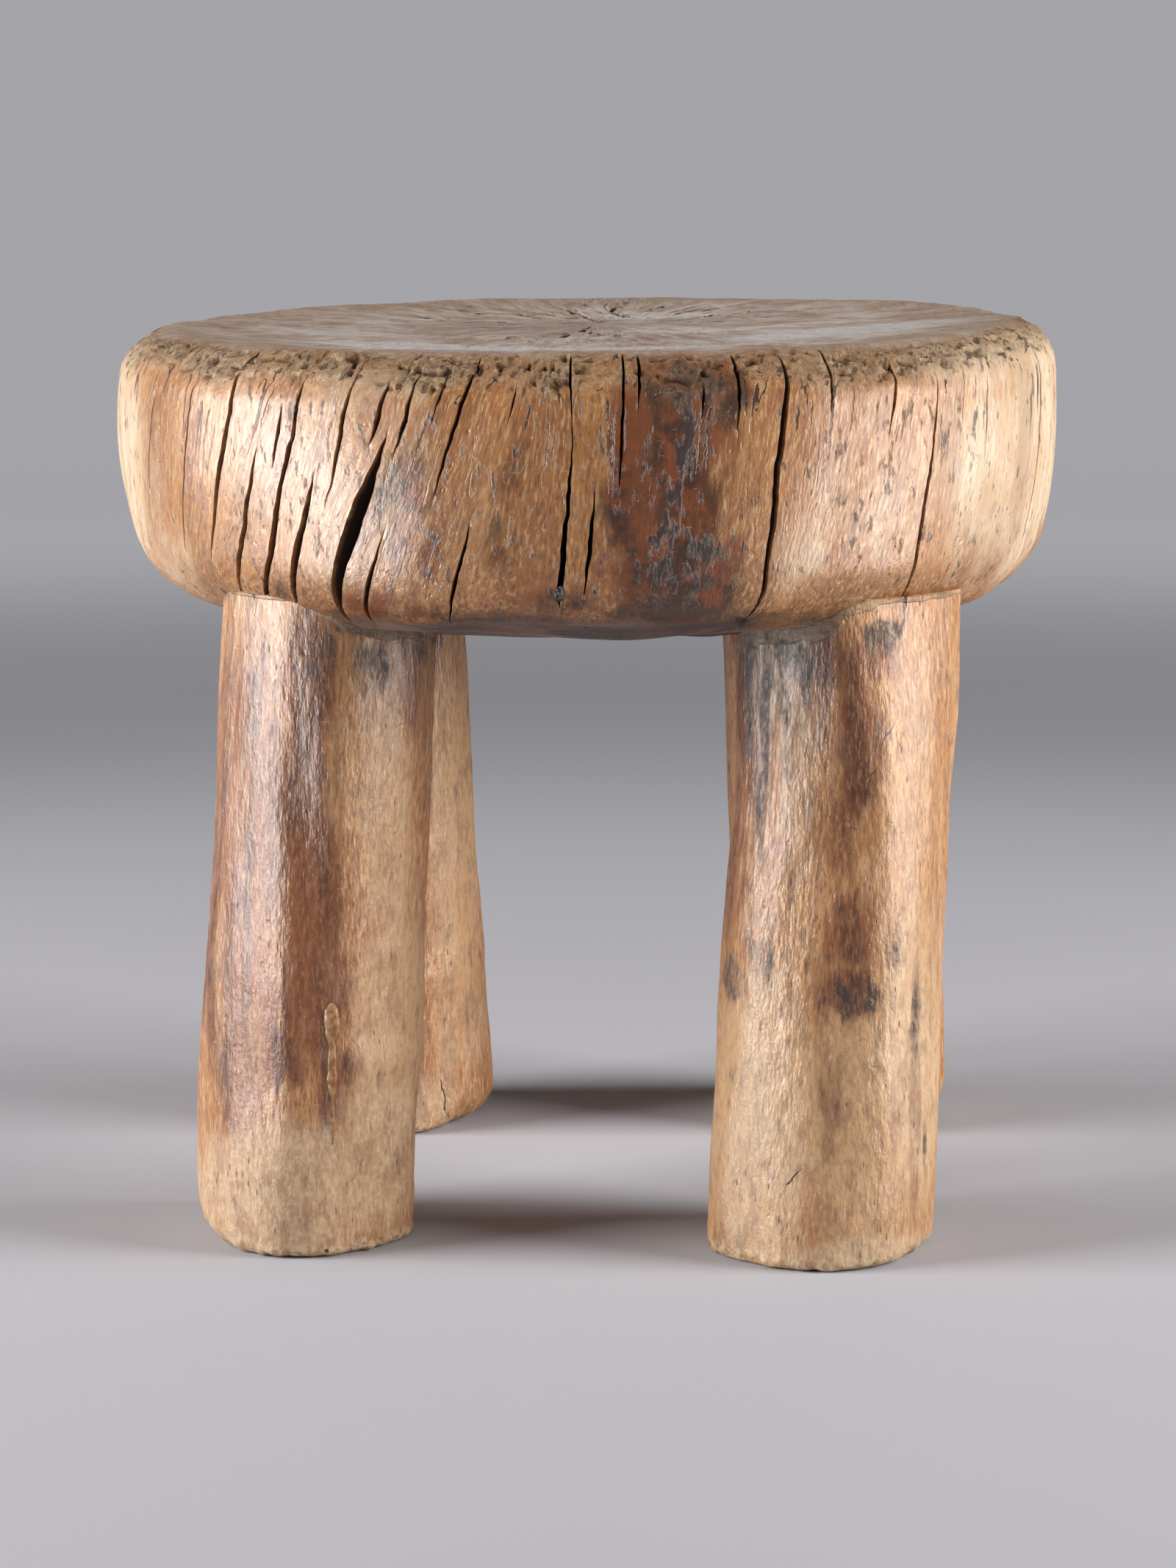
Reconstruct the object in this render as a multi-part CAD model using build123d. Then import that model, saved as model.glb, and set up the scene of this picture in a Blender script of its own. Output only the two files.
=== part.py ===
"""Senufo stool: a round, dished seat on four stout legs, hewn from one upright log.

Frame, in millimetres: +Z up, +X to the right and +Y away for someone who faces the stool,
and the origin on the floor under the middle of the seat. The legs stop at the carved crease
where they meet the seat's underside, and every face there is shared, with no gap.
"""
import os
from math import cos, radians, sin, sqrt, tan

from build123d import *

# Seat
seat_width = 338.0
seat_depth = 334.0
seat_thickness = 103.4
leg_height = 210.5
side_round = 195.0
widest_height = 72.5
underside_slope_run = 75.0
underside_rise = 9.5
belly_round = 250.0
lower_edge_round = 28.0
rim_round = 18.0
rim_spare = 12.0

# Dish in the top, shallow and round like a watch glass
dish_round = 1370.0
dish_depth = 8.0

# The worn rim's slope in degrees: it climbs to the right and to the back
rim_climb_right = 0.73
rim_climb_back = 0.3

# Legs: rounded squares in section, set round a ring inside the seat's edge
leg_face = 72.5
leg_corner = 30.0
leg_edge_inset = 10.5
leg_top_run = 18.5
foot_round = 5.0

# Drying cracks round the seat's side
crack_width = 6.0
crack_depth = 26.0
overrun = 8.0

# Dark lump of pitch that fills the foot of one crack
plug_width = 3.8
plug_height = 6.6
plug_depth = 7.0
plug_proud = 0.7
plug_overlap = 1.0

# Dried drip that ran down the front left leg
drip_radius = 2.9
drip_top_height = 89.5
drip_length = 50.0
drip_offset = 8.2
drip_sink = 0.3

# Middles of each leg's foot and top, as shares of the leg ring's radius, as (x, y)
foot_place_shares = {
    "front_left": (-0.82, -0.72),
    "front_right": (0.655, -0.865),
    "rear_left": (-0.61, 0.76),
    "rear_right": (0.805, 0.78),
}
top_place_shares = {
    "front_left": (-0.725, -0.71),
    "front_right": (0.75, -0.74),
    "rear_left": (-0.70, 0.73),
    "rear_right": (0.725, 0.74),
}

# Heights of a leg's sections, as shares of its run from the floor to where it ends in the seat
section_height_shares = (0.0, 0.15, 0.44, 0.76, 1.0)

# Size of each leg's section from the foot up, as shares of the leg's face
girth_shares = {
    "front_left": (0.97, 0.99, 0.985, 0.955, 0.93),
    "front_right": (1.01, 1.02, 0.985, 0.97, 0.995),
    "rear_left": (0.96, 0.96, 0.945, 0.935, 0.93),
    "rear_right": (1.04, 1.05, 1.01, 0.98, 0.97),
}

# Turn of each leg's flats in degrees, at the foot and at the top
flat_turns = {
    "front_left": (40, 47),
    "front_right": (-36, -24),
    "rear_left": (38, 44),
    "rear_right": (28, 36),
}

# Cracks, each as its turn from the front at the top and at the bottom in degrees, and the
# heights of these ends, its width and its depth as shares of the seat's and the crack's
plugged_crack_shares = (-1.6, -3.4, 0.69, 0.256, 0.42, 0.7)
crack_shares = (
    (-45.0, -52.0, 0.92, 0.285, 0.35, 0.5),
    (-41.0, -49.5, 0.68, 0.13, 0.42, 0.6),
    (-34.5, -44.0, 0.88, 0.13, 0.38, 0.6),
    (-33.0, -39.5, 0.58, 0.16, 0.50, 0.7),
    (-22.5, -32.0, 0.86, 0.12, 1.00, 1.0),
    (-22.0, -27.0, 0.42, 0.14, 0.36, 0.5),
    (-13.0, -17.0, 0.47, 0.15, 0.22, 0.4),
    plugged_crack_shares,
    (0.9, -0.5, 0.595, 0.237, 0.25, 0.5),
    (23.3, 20.4, 0.92, 0.15, 0.45, 0.8),
    (44.5, 42.0, 0.85, 0.16, 0.20, 0.4),
)

# How open a crack is along its length, as shares of its width
crack_opening_shares = ((0.0, 0.05), (0.2, 0.45), (0.45, 1.0), (0.75, 0.8), (1.0, 0.1))

# Lobes of the drip from its head down: start and end as shares of its length, and how thick
drip_lobe_shares = ((0.00, 0.16, 1.0), (0.12, 0.28, 0.45), (0.26, 0.62, 0.6), (0.60, 1.0, 0.3))

seat_radius = seat_width / 2
depth_ratio = seat_depth / seat_width
leg_ring = seat_radius - leg_edge_inset - leg_face / 2


def side_radius(height):
    """Radius of the bulging side at a height above the seat's underside."""
    drop = height - widest_height
    return seat_radius - side_round + sqrt(side_round**2 - drop**2)


def corner_at(face, x, y):
    """The corner of a flat face that lies nearest to a point."""
    return face.vertices().sort_by_distance((x, y))[0]


def seat_outline():
    """Half section of the uncut seat, with x as the radius and y as the height above its underside."""
    high = seat_thickness + rim_spare
    lower = (side_radius(underside_rise), underside_rise)
    upper = (side_radius(high), high)
    middle = (side_radius(high / 2), high / 2)
    flat_end = (lower[0] - underside_slope_run, 0)
    straight = Polyline(upper, (0, high), (0, 0), flat_end, lower)
    face = make_face(Curve() + [straight, ThreePointArc(lower, middle, upper)])
    face = fillet(corner_at(face, *flat_end), belly_round)
    return fillet(corner_at(face, *lower), lower_edge_round)


def rim_plane():
    """The plane that the worn rim lies in, facing up."""
    lean_right, lean_back = tan(radians(rim_climb_right)), tan(radians(rim_climb_back))
    origin = (0, 0, leg_height + seat_thickness)
    return Plane(origin=origin, x_dir=(1, 0, lean_right), z_dir=(-lean_right, -lean_back, 1))


def dish():
    """Ball that hollows the top, with its poles and its seam turned away from the seat."""
    return rim_plane() * Pos(0, 0, dish_round - dish_depth) * Rot(0, -90, 0) * Sphere(dish_round)


def seat_blank():
    """The seat before it cracked: a bulging disc with a sloping, rounded rim and a shallow dish."""
    disc = Pos(0, 0, leg_height) * revolve(Plane.XZ * seat_outline(), Axis.Z)
    disc = split(disc, bisect_by=rim_plane(), keep=Keep.BOTTOM)
    disc = fillet(disc.edges().group_by(Axis.Z)[-1], rim_round)
    return scale(disc - dish(), by=(1, depth_ratio, 1))


def crack(row):
    """Wedge that opens one crack: a narrow, leaning shape on the side, pushed in to its depth."""
    top_turn, low_turn, top_share, low_share, width_share, depth_share = row
    middle_turn = (top_turn + low_turn) / 2
    left, right = [], []
    for along_share, open_share in crack_opening_shares:
        turn = top_turn + (low_turn - top_turn) * along_share
        across = seat_radius * tan(radians(turn - middle_turn))
        height = seat_thickness * (top_share + (low_share - top_share) * along_share)
        half = crack_width * width_share * open_share / 2
        left.append((across - half, height))
        right.insert(0, (across + half, height))
    face = make_face(Polyline(*left, *right, close=True))
    outward = (sin(radians(middle_turn)), -cos(radians(middle_turn)), 0)
    along = (cos(radians(middle_turn)), sin(radians(middle_turn)), 0)
    start = seat_radius + overrun
    origin = (outward[0] * start, outward[1] * start, leg_height)
    side = Plane(origin=origin, x_dir=along, z_dir=outward)
    reach = overrun + crack_depth * depth_share
    return extrude(side * face, amount=-reach)


def plug():
    """Lump of pitch: an uneven hexagon in front view, which stands a little proud of the side."""
    half = plug_width / 2
    outline = Polyline(
        (-half, plug_height / 3),
        (-half / 2, 0),
        (half / 2, 0),
        (half, plug_height / 2),
        (half / 2, plug_height),
        (-half, plug_height - half / 2),
        close=True,
    )
    turn, crack_end_share = plugged_crack_shares[1], plugged_crack_shares[3]
    outward = (sin(radians(turn)), -cos(radians(turn)), 0)
    along = (cos(radians(turn)), sin(radians(turn)), 0)
    plug_low = seat_thickness * crack_end_share + plug_overlap - plug_height
    face_radius = side_radius(plug_low + plug_height / 2) * depth_ratio + plug_proud
    origin = (outward[0] * face_radius, outward[1] * face_radius, leg_height + plug_low)
    side = Plane(origin=origin, x_dir=along, z_dir=outward)
    return extrude(side * make_face(outline), amount=-plug_depth)


def between(low, high, share):
    """The value a share of the way from low to high."""
    return low + (high - low) * share


def leg_blank(name):
    """A leg run up into the seat: five rounded squares joined by one smooth skin, with a worn foot."""
    top_height = leg_height + leg_top_run
    sections = []
    for up, girth_share in zip(section_height_shares, girth_shares[name]):
        x = leg_ring * between(foot_place_shares[name][0], top_place_shares[name][0], up)
        y = leg_ring * depth_ratio * between(foot_place_shares[name][1], top_place_shares[name][1], up)
        turn = between(*flat_turns[name], up)
        face = leg_face * girth_share
        square = RectangleRounded(face, face, leg_corner * girth_share)
        sections.append(Pos(x, y, top_height * up) * Rot(0, 0, turn) * square)
    leg = loft(sections)
    return fillet(leg.edges().group_by(Axis.Z)[0], foot_round)


def skin_y(leg, x, height):
    """Where the front of a leg lies at one place across and one height."""
    probe = Line((x, -seat_depth, height), (x, 0, height))
    return min(vertex.Y for vertex in (probe & leg).vertices())


def drip(leg):
    """The dried run: a fat head, a neck, a longer drop and a thin tail, from the head down."""
    foot_x = leg_ring * foot_place_shares["front_left"][0]
    top_x = leg_ring * top_place_shares["front_left"][0]
    run = Part()
    for start_share, end_share, radius_share in drip_lobe_shares:
        radius = drip_radius * radius_share
        high = drip_top_height - drip_length * start_share - radius
        low = drip_top_height - drip_length * end_share + radius
        ends = []
        for height in (high, low):
            x = between(foot_x, top_x, height / (leg_height + leg_top_run)) + drip_offset
            ends.append((x, skin_y(leg, x, height) + radius * drip_sink, height))
        path = Line(*ends)
        rod = extrude(Plane(ends[0], z_dir=path % 0) * Circle(radius), amount=path.length)
        run += rod + Pos(ends[0]) * Sphere(radius) + Pos(ends[1]) * Sphere(radius)
    return run - leg


def main():
    os.makedirs("parts", exist_ok=True)
    blank = seat_blank()
    lump = plug()
    seat = blank
    for row in crack_shares:
        seat = seat - crack(row)
    pieces = {"seat": seat - lump, "pitch_plug": lump}
    for name in foot_place_shares:
        pieces[f"leg_{name}"] = leg_blank(name) - blank
    pieces["dried_drip"] = drip(pieces["leg_front_left"])
    for name, piece in pieces.items():
        box = piece.bounding_box()
        print(name, len(piece.solids()), round(piece.volume), box.min, box.max)
        export_step(piece, f"parts/{name}.step")


main()
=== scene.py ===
# %% [markdown]
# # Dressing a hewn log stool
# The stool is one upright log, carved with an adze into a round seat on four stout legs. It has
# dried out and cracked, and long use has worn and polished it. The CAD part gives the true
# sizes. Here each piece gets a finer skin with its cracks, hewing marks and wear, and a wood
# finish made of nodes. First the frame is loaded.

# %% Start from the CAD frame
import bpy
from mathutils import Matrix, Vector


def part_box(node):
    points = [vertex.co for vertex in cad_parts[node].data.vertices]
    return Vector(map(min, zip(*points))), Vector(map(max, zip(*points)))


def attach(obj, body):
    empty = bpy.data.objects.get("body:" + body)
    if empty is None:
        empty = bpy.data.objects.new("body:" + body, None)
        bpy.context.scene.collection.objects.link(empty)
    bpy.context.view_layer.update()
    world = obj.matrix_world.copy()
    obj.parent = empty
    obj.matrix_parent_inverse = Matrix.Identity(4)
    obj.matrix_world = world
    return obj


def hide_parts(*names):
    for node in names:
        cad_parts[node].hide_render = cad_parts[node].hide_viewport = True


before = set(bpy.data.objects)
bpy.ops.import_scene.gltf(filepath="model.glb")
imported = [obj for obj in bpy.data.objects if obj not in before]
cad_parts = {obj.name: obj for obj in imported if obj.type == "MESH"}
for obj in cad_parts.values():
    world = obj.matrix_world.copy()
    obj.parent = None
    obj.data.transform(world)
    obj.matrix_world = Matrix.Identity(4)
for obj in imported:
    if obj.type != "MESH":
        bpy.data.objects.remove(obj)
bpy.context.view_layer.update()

import math
import bpy
import numpy as np
from mathutils import Vector

MM = 0.001
print("pieces in the frame:", sorted(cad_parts))

# %% [markdown]
# Every skin here is a grid of points worked out as whole arrays, so some small helpers come
# first. One eases a value from 0 to 1, one makes soft random unevenness out of sine waves, and
# two lay soft spots, which is how stains, worn places and swells are put on a grid.

# %% Helpers for shapes
def ease(value, low, high):
    """0 at low, 1 at high, and an S curve between them: 3 t squared less 2 t cubed."""
    t = np.clip((value - low) / (high - low), 0.0, 1.0)
    return t * t * (3.0 - 2.0 * t)


def placed(x, y, z):
    """Points from their x, y and z, which are spread out to one shape first."""
    return np.stack(np.broadcast_arrays(x, y, z), axis=-1)


def ripples(points, size, seed, stretch=(1.0, 1.0, 1.0)):
    """Soft unevenness, mostly within -1 and 1: a sum of sine waves that run in random directions.
    size is their usual length in mm, and stretch draws them out along x, y and z."""
    dice = np.random.default_rng(seed)
    ways = dice.normal(size=(18, 3))
    ways /= np.linalg.norm(ways, axis=1, keepdims=True)
    lengths = size * dice.uniform(0.7, 1.7, (18, 1))
    phases = dice.uniform(0.0, 2.0 * math.pi, 18)
    turns = 2.0 * math.pi * ways / lengths / np.array(stretch)
    return np.sin(points @ turns.T + phases).sum(axis=-1) / 4.5


def spots(across, up, table, wrap=0.0):
    """Soft spots, the strongest one winning. Each row of the table is a spot: across, up, half width,
    half height, strength. A spot is full inside 0.4 of its size and has faded out at 1.3.
    wrap is 360 where across is an angle."""
    mark = np.zeros(np.shape(across))
    for middle, height, half_wide, half_high, strength in table:
        aside = across - middle
        if wrap:
            aside = (aside + wrap / 2.0) % wrap - wrap / 2.0
        far = np.hypot(aside / half_wide, (up - height) / half_high)
        mark = np.maximum(mark, strength * (1.0 - ease(far, 0.4, 1.3)))
    return mark


def signed_spots(across, up, table):
    """Swells and hollows: soft spots that are added up, so that a strength below 0 presses in."""
    total = np.zeros(np.shape(across))
    for middle, height, half_wide, half_high, strength in table:
        far = np.hypot((across - middle) / half_wide, (up - height) / half_high)
        total = total + strength * (1.0 - ease(far, 0.0, 1.4))
    return total


# %% Helper that turns a grid into a closed mesh
def closed_skin(name, grid, first, last, facing_out, marks, closed=True):
    """Makes an object from a grid of points (rows, columns, 3) in mm whose last column joins its first.
    A fan of triangles closes each end on one point, the far one only if closed is true.
    facing_out says which way round the faces go.
    marks are the named values at the points: one number each, or three for a place."""
    rows, columns = grid.shape[:2]
    points = np.concatenate([grid.reshape(-1, 3), [first, last]])[: rows * columns + 1 + closed] * MM
    row, column = np.meshgrid(np.arange(rows - 1), np.arange(columns), indexing="ij")
    beside = (column + 1) % columns
    corners = (row * columns + column, (row + 1) * columns + column)
    corners += ((row + 1) * columns + beside, row * columns + beside)
    quads = np.stack(corners, axis=-1).reshape(-1, 4)
    here = np.arange(columns)
    ahead = (here + 1) % columns
    poles = (np.full(columns, rows * columns), np.full(columns, rows * columns + 1))
    tail = (rows - 1) * columns
    fans = np.stack([poles[0], here, ahead], axis=-1)
    if closed:
        fans = np.concatenate([fans, np.stack([poles[1], tail + ahead, tail + here], axis=-1)])
    if not facing_out:
        quads = quads[:, ::-1]
        fans = fans[:, ::-1]
    mesh = bpy.data.meshes.new(name)
    mesh.from_pydata(points.tolist(), [], quads.tolist() + fans.tolist())
    mesh.shade_smooth()
    mesh.set_sharp_from_angle(angle=math.radians(40.0))
    for label, values in marks.items():
        kind, told = ("FLOAT_VECTOR", "vector") if values.ndim == 3 else ("FLOAT", "value")
        ends = values[[0, -1]].mean(axis=1).reshape(2, -1)
        held = np.concatenate([values.reshape(rows * columns, -1), ends])
        mesh.attributes.new(label, kind, "POINT").data.foreach_set(told, held.ravel())
    piece = bpy.data.objects.new(name, mesh)
    bpy.context.scene.collection.objects.link(piece)
    triangles = 2 * len(quads) + len(fans)
    print(f"{name}: {rows} x {columns} grid, {triangles} triangles")
    return piece


# %% [markdown]
# ## The seat's outline
# The seat is a bulging disc with a worn, rounded rim, a shallow dish on top and a gently sloping
# underside. Seen in section it is a chain of arcs, so the skin's rows are laid along that chain,
# from the dish over the rim, down the side and in under the belly. Each row keeps its radius,
# its height and which way the surface faces there.

# %% Sizes of the seat in mm
seat_radius = 169.0
depth_ratio = 334.0 / 338.0
under_height = 210.5
top_height = 313.9
side_round = 195.0
side_middle = (seat_radius - side_round, 283.0)
rim_round = 18.0
rim_middle = (150.5, 295.9)
rim_angles = (96.2, 4.2)
lower_round = 32.0
slope_start = 83.5
slope = 9.5 / 75.0
dish_round = 1370.0
dish_depth = 8.2
rim_climb_right = math.tan(math.radians(0.73))
rim_climb_back = math.tan(math.radians(0.3))
pith = (3.0, 80.0)


def lower_corner():
    """Middle of the lower round, which touches the sloping underside and the side's arc from inside.
    Its height above the slope and its distance from the side's middle are both known,
    which gives one quadratic equation for its radius."""
    lift = lower_round * math.sqrt(1.0 + slope**2) - slope * slope_start + under_height - side_middle[1]
    reach = side_round - lower_round
    a = 1.0 + slope**2
    b = 2.0 * (slope * lift - side_middle[0])
    c = side_middle[0] ** 2 + lift**2 - reach**2
    across = (-b + math.sqrt(b * b - 4.0 * a * c)) / (2.0 * a)
    return across, slope * across + lift + side_middle[1]


lower_middle = lower_corner()
side_end = math.degrees(math.atan2(lower_middle[1] - side_middle[1], lower_middle[0] - side_middle[0]))
slope_angle = -90.0 + math.degrees(math.atan(slope))
print("lower round's middle:", lower_middle, "the side's arc ends at", side_end)


# %% Rows along the section
def arc_rows(middle, radius, start, end, count):
    """Radius, height and facing angle of points spread evenly along an arc."""
    angle = np.linspace(start, end, count, endpoint=False)
    turn = np.radians(angle)
    return np.stack([middle[0] + radius * np.cos(turn), middle[1] + radius * np.sin(turn), angle])


def belly_height(radius):
    """Height of the underside: flat in the middle, then sloping up, with a soft bend between."""
    out = radius - slope_start
    return under_height + slope * 0.5 * (out + np.sqrt(out * out + 144.0)) - 0.15


rim_rows = arc_rows(rim_middle, rim_round, *rim_angles, 24)
side_rows = arc_rows(side_middle, side_round, rim_angles[1], side_end, 54)
corner_rows = arc_rows(lower_middle, lower_round, side_end, slope_angle, 20)
slope_end = lower_middle[0] + lower_round * math.cos(math.radians(slope_angle))
belly_radius = np.concatenate([np.linspace(slope_end, 72.0, 10, endpoint=False), np.linspace(72.0, 9.0, 6)])
belly_rows = np.stack([belly_radius, belly_height(belly_radius), np.full(belly_radius.shape, -90.0)])
shell = np.concatenate([rim_rows, side_rows, corner_rows, belly_rows], axis=1)
shell_radius, shell_height, shell_angle = shell
dish_rows = 32
print("rows from rim to belly:", shell.shape[1], "rows in the dish:", dish_rows)

# %% [markdown]
# ## The drying cracks
# A log shrinks more round its rings than across them, so it splits from the bark inwards, along
# the grain. The grain leans on this stool, and every crack leans with it. A crack is a line of
# points down the side: how far round from the front in degrees, the height, and the width there
# in mm. The skin's columns follow these lines, so a crack is a clean valley between columns and
# never cuts across a face. The cracks at the back aren't seen in the picture and are made up.

# %% Table of cracks
cracks = (
    ((-160, 300, 0), (-160.6, 285, 1.2), (-161.4, 255, 1.6), (-162, 232, 0)),
    ((-141, 308, 0.8), (-141.5, 290, 2.6), (-142.8, 262, 3.4), (-144.6, 228, 1), (-145, 222, 0.4)),
    ((-127, 280, 0), (-127.8, 262, 1), (-128.8, 240, 0)),
    ((-112, 306, 0.6), (-112.6, 285, 1.8), (-114, 250, 1.2), (-115, 232, 0)),
    ((-93, 300, 0), (-93.6, 288, 0.9), (-95, 258, 0)),
    ((-76, 308, 0.5), (-77, 290, 0.8), (-80.5, 240, 0)),
    ((-62, 303, 0), (-63.2, 285, 0.7), (-66, 245, 0)),
    ((-52.8, 300, 0.4), (-54, 280, 0.7), (-56.5, 250, 0.5), (-58, 232, 0)),
    ((-45, 308, 1.1), (-45.6, 293, 2.2), (-47.4, 274, 2.4), (-50, 252, 1.6), (-52, 238, 0)),
    ((-40.9, 282, 0), (-42.2, 270, 1.6), (-43.8, 256, 2.3), (-46.4, 238, 2.7), (-50, 223, 0.7)),
    ((-37, 297, 0), (-37.6, 287, 1.8), (-38.6, 273, 0)),
    ((-34.4, 304, 0.6), (-35.4, 288, 1.6), (-37.8, 267, 1.9), (-40.5, 243, 3), (-43.4, 230, 2.6),
     (-45, 223, 0.5)),
    ((-33, 272, 0.3), (-34, 262, 2), (-36.2, 244, 3.8), (-38, 233, 2.6), (-39.2, 225, 0.8)),
    ((-28, 308, 0.5), (-28.6, 294, 1.5), (-30, 275, 1.2), (-31.2, 261, 0)),
    ((-22.8, 303, 0.8), (-23.8, 292, 1.9), (-24.9, 283, 0)),
    ((-22.9, 287, 0.4), (-23.8, 277, 3.2), (-25.5, 265, 6.4), (-27.6, 251, 7.4), (-30.3, 232, 4.6),
     (-32.2, 222, 1)),
    ((-20.6, 306, 0.7), (-21.5, 292, 1.5), (-22.6, 279, 0)),
    ((-22.3, 256, 0), (-23.9, 244, 1.1), (-25.4, 235, 2), (-27.3, 224, 1.4)),
    ((-17.2, 308, 0.3), (-17.6, 300, 0.9), (-18.5, 290, 0)),
    ((-12.9, 310, 0.6), (-14.2, 298, 1.3), (-16, 281, 1.1), (-17.9, 263, 0)),
    ((-12.9, 261, 0), (-13.6, 249, 1.1), (-15.4, 236, 1.6), (-17.2, 225, 0.6)),
    ((-8.6, 306, 0), (-8.8, 299, 0.7), (-9.3, 288, 0)),
    ((-2.1, 309, 1), (-1.9, 301, 0.7), (-1.7, 286, 0.3), (-2.1, 270, 1.3), (-2.8, 249, 2.3),
     (-3.3, 235, 2.6), (-3.4, 230, 0)),
    ((0.9, 273, 0), (0.4, 258, 1.3), (0.1, 247, 1.6), (-0.5, 234, 0.3)),
    ((4.1, 310, 0.8), (3.9, 284, 1), (3.3, 264, 0)),
    ((5.9, 311, 0.9), (5.7, 303, 1.1), (5.3, 295, 0)),
    ((13.2, 305, 0), (13, 300, 1), (12.6, 292, 0)),
    ((17.4, 308, 1.4), (17.2, 299, 1), (16.9, 284, 0)),
    ((23.3, 308, 1.2), (22.6, 295, 2.3), (21.8, 277, 2.4), (21.2, 255, 2.1), (20.8, 235, 1.5),
     (19.6, 225, 0.7)),
    ((29, 309, 0.9), (28.7, 301, 0.9), (28.4, 293, 0)),
    ((37.9, 306, 1), (37.3, 295, 1.1), (36.3, 282, 0)),
    ((44.7, 301, 0.3), (43.6, 285, 0.9), (42.4, 265, 1.4), (41.9, 248, 1.3), (42.2, 227, 0.9)),
    ((54, 303, 0), (53.6, 294, 0.6), (53, 270, 0)),
    ((69, 307, 0.6), (68.2, 290, 1.2), (67, 256, 1), (66, 230, 0.4)),
    ((86, 296, 0), (85.6, 280, 0.8), (85, 258, 0)),
    ((101, 308, 0.9), (100.4, 288, 2.2), (99.2, 258, 2.6), (98.4, 228, 0.7)),
    ((118, 305, 0.4), (117.4, 290, 1.1), (116.6, 262, 0)),
    ((133, 282, 0), (132.4, 262, 1.6), (131.4, 236, 2), (131, 226, 0.5)),
    ((150, 307, 0.7), (149.4, 286, 1.7), (148.6, 262, 0)),
    ((170, 308, 1), (169.3, 288, 3), (168.2, 258, 4.2), (167, 230, 1.4), (166.8, 224, 0.5)),
)
lean_places = (-180, -90, -48, -40, -30, -22, -15, -2, 4, 20, 42, 90, 180)
lean_values = (0.03, 0.05, 0.11, 0.13, 0.12, 0.10, 0.09, 0.035, 0.01, 0.03, 0.045, 0.02, 0.03)
print("cracks:", len(cracks))

# %% [markdown]
# Between the ends of its table a crack follows the points, and beyond them it runs on with the
# lean of the grain round it, so that the columns beside it never bunch up. Neighbours that come
# too close are eased apart: the mean of a sweep from the left and a sweep from the right always
# leaves the gap that each sweep keeps.

# %% Crack lines and the columns between them
degrees_per_mm = math.degrees(1.0 / seat_radius)
least_gap = 4.4 * degrees_per_mm


def crack_lines(heights):
    """How far round each crack is, in degrees, and how wide it is in mm, for every row's height."""
    places, widths = [], []
    for number, line in enumerate(cracks):
        turn, height, width = np.array(line[::-1], dtype=float).T
        lean = np.interp(turn.mean(), lean_places, lean_values)
        place = np.interp(heights, height, turn)
        place = place + lean * np.clip(heights - height[-1], 0.0, None)
        place = place - 1.5 * lean * np.clip(height[0] - heights, 0.0, None)
        steps = placed(heights, 7.0 * number, 0.0)
        place = place + 0.07 * ripples(steps, 10.0, 5) + 0.035 * ripples(steps, 3.4, 6)
        wide = np.interp(heights, height, width, left=0.0, right=0.0)
        fade = ease(heights, height[0] - 2.5, height[0])
        fade = fade * (1.0 - ease(heights, height[-1], height[-1] + 3.0))
        beyond = np.where(heights < height[0], width[0], np.where(heights > height[-1], width[-1], 0.0))
        wide = wide + beyond * fade
        uneven = 0.6 * ripples(steps, 8.0, 9) + 0.4 * ripples(steps, 3.4, 10)
        wide = 0.93 * wide + np.minimum(0.28 * wide, 0.26) * uneven
        places.append(place)
        widths.append(np.clip(wide, 0.0, None))
    places, widths = np.array(places), np.array(widths)
    room = least_gap + 0.5 * degrees_per_mm * (widths[1:] + widths[:-1])
    from_left, from_right = places.copy(), places.copy()
    for k in range(1, len(places)):
        from_left[k] = np.maximum(places[k], from_left[k - 1] + room[k - 1])
    for k in range(len(places) - 2, -1, -1):
        from_right[k] = np.minimum(places[k], from_right[k + 1] - room[k])
    return (from_left + from_right) / 2.0, widths


guide_heights = np.clip(shell_height, 216.0, 309.0)
guide_heights[shell_angle <= -80.0] = guide_heights[shell_angle > -80.0].min()
lines, openings = crack_lines(guide_heights)
print("closest neighbours:", np.diff(lines, axis=0).min(), "degrees")


# %% Columns of the seat
def crack_columns(middle, opening):
    """Nine columns for one crack: flat, lip, wall, bottom, and the same again on the way back up.
    A closed crack keeps its columns a hair's breadth apart at no depth."""
    half = np.maximum(opening / 2.0, 0.05)
    sides = (half + 1.3, half + 0.16, half, 0.62 * half)
    offsets = [-side for side in sides] + [0.0 * half] + list(sides[::-1])
    return [middle + offset * degrees_per_mm for offset in offsets]


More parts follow.
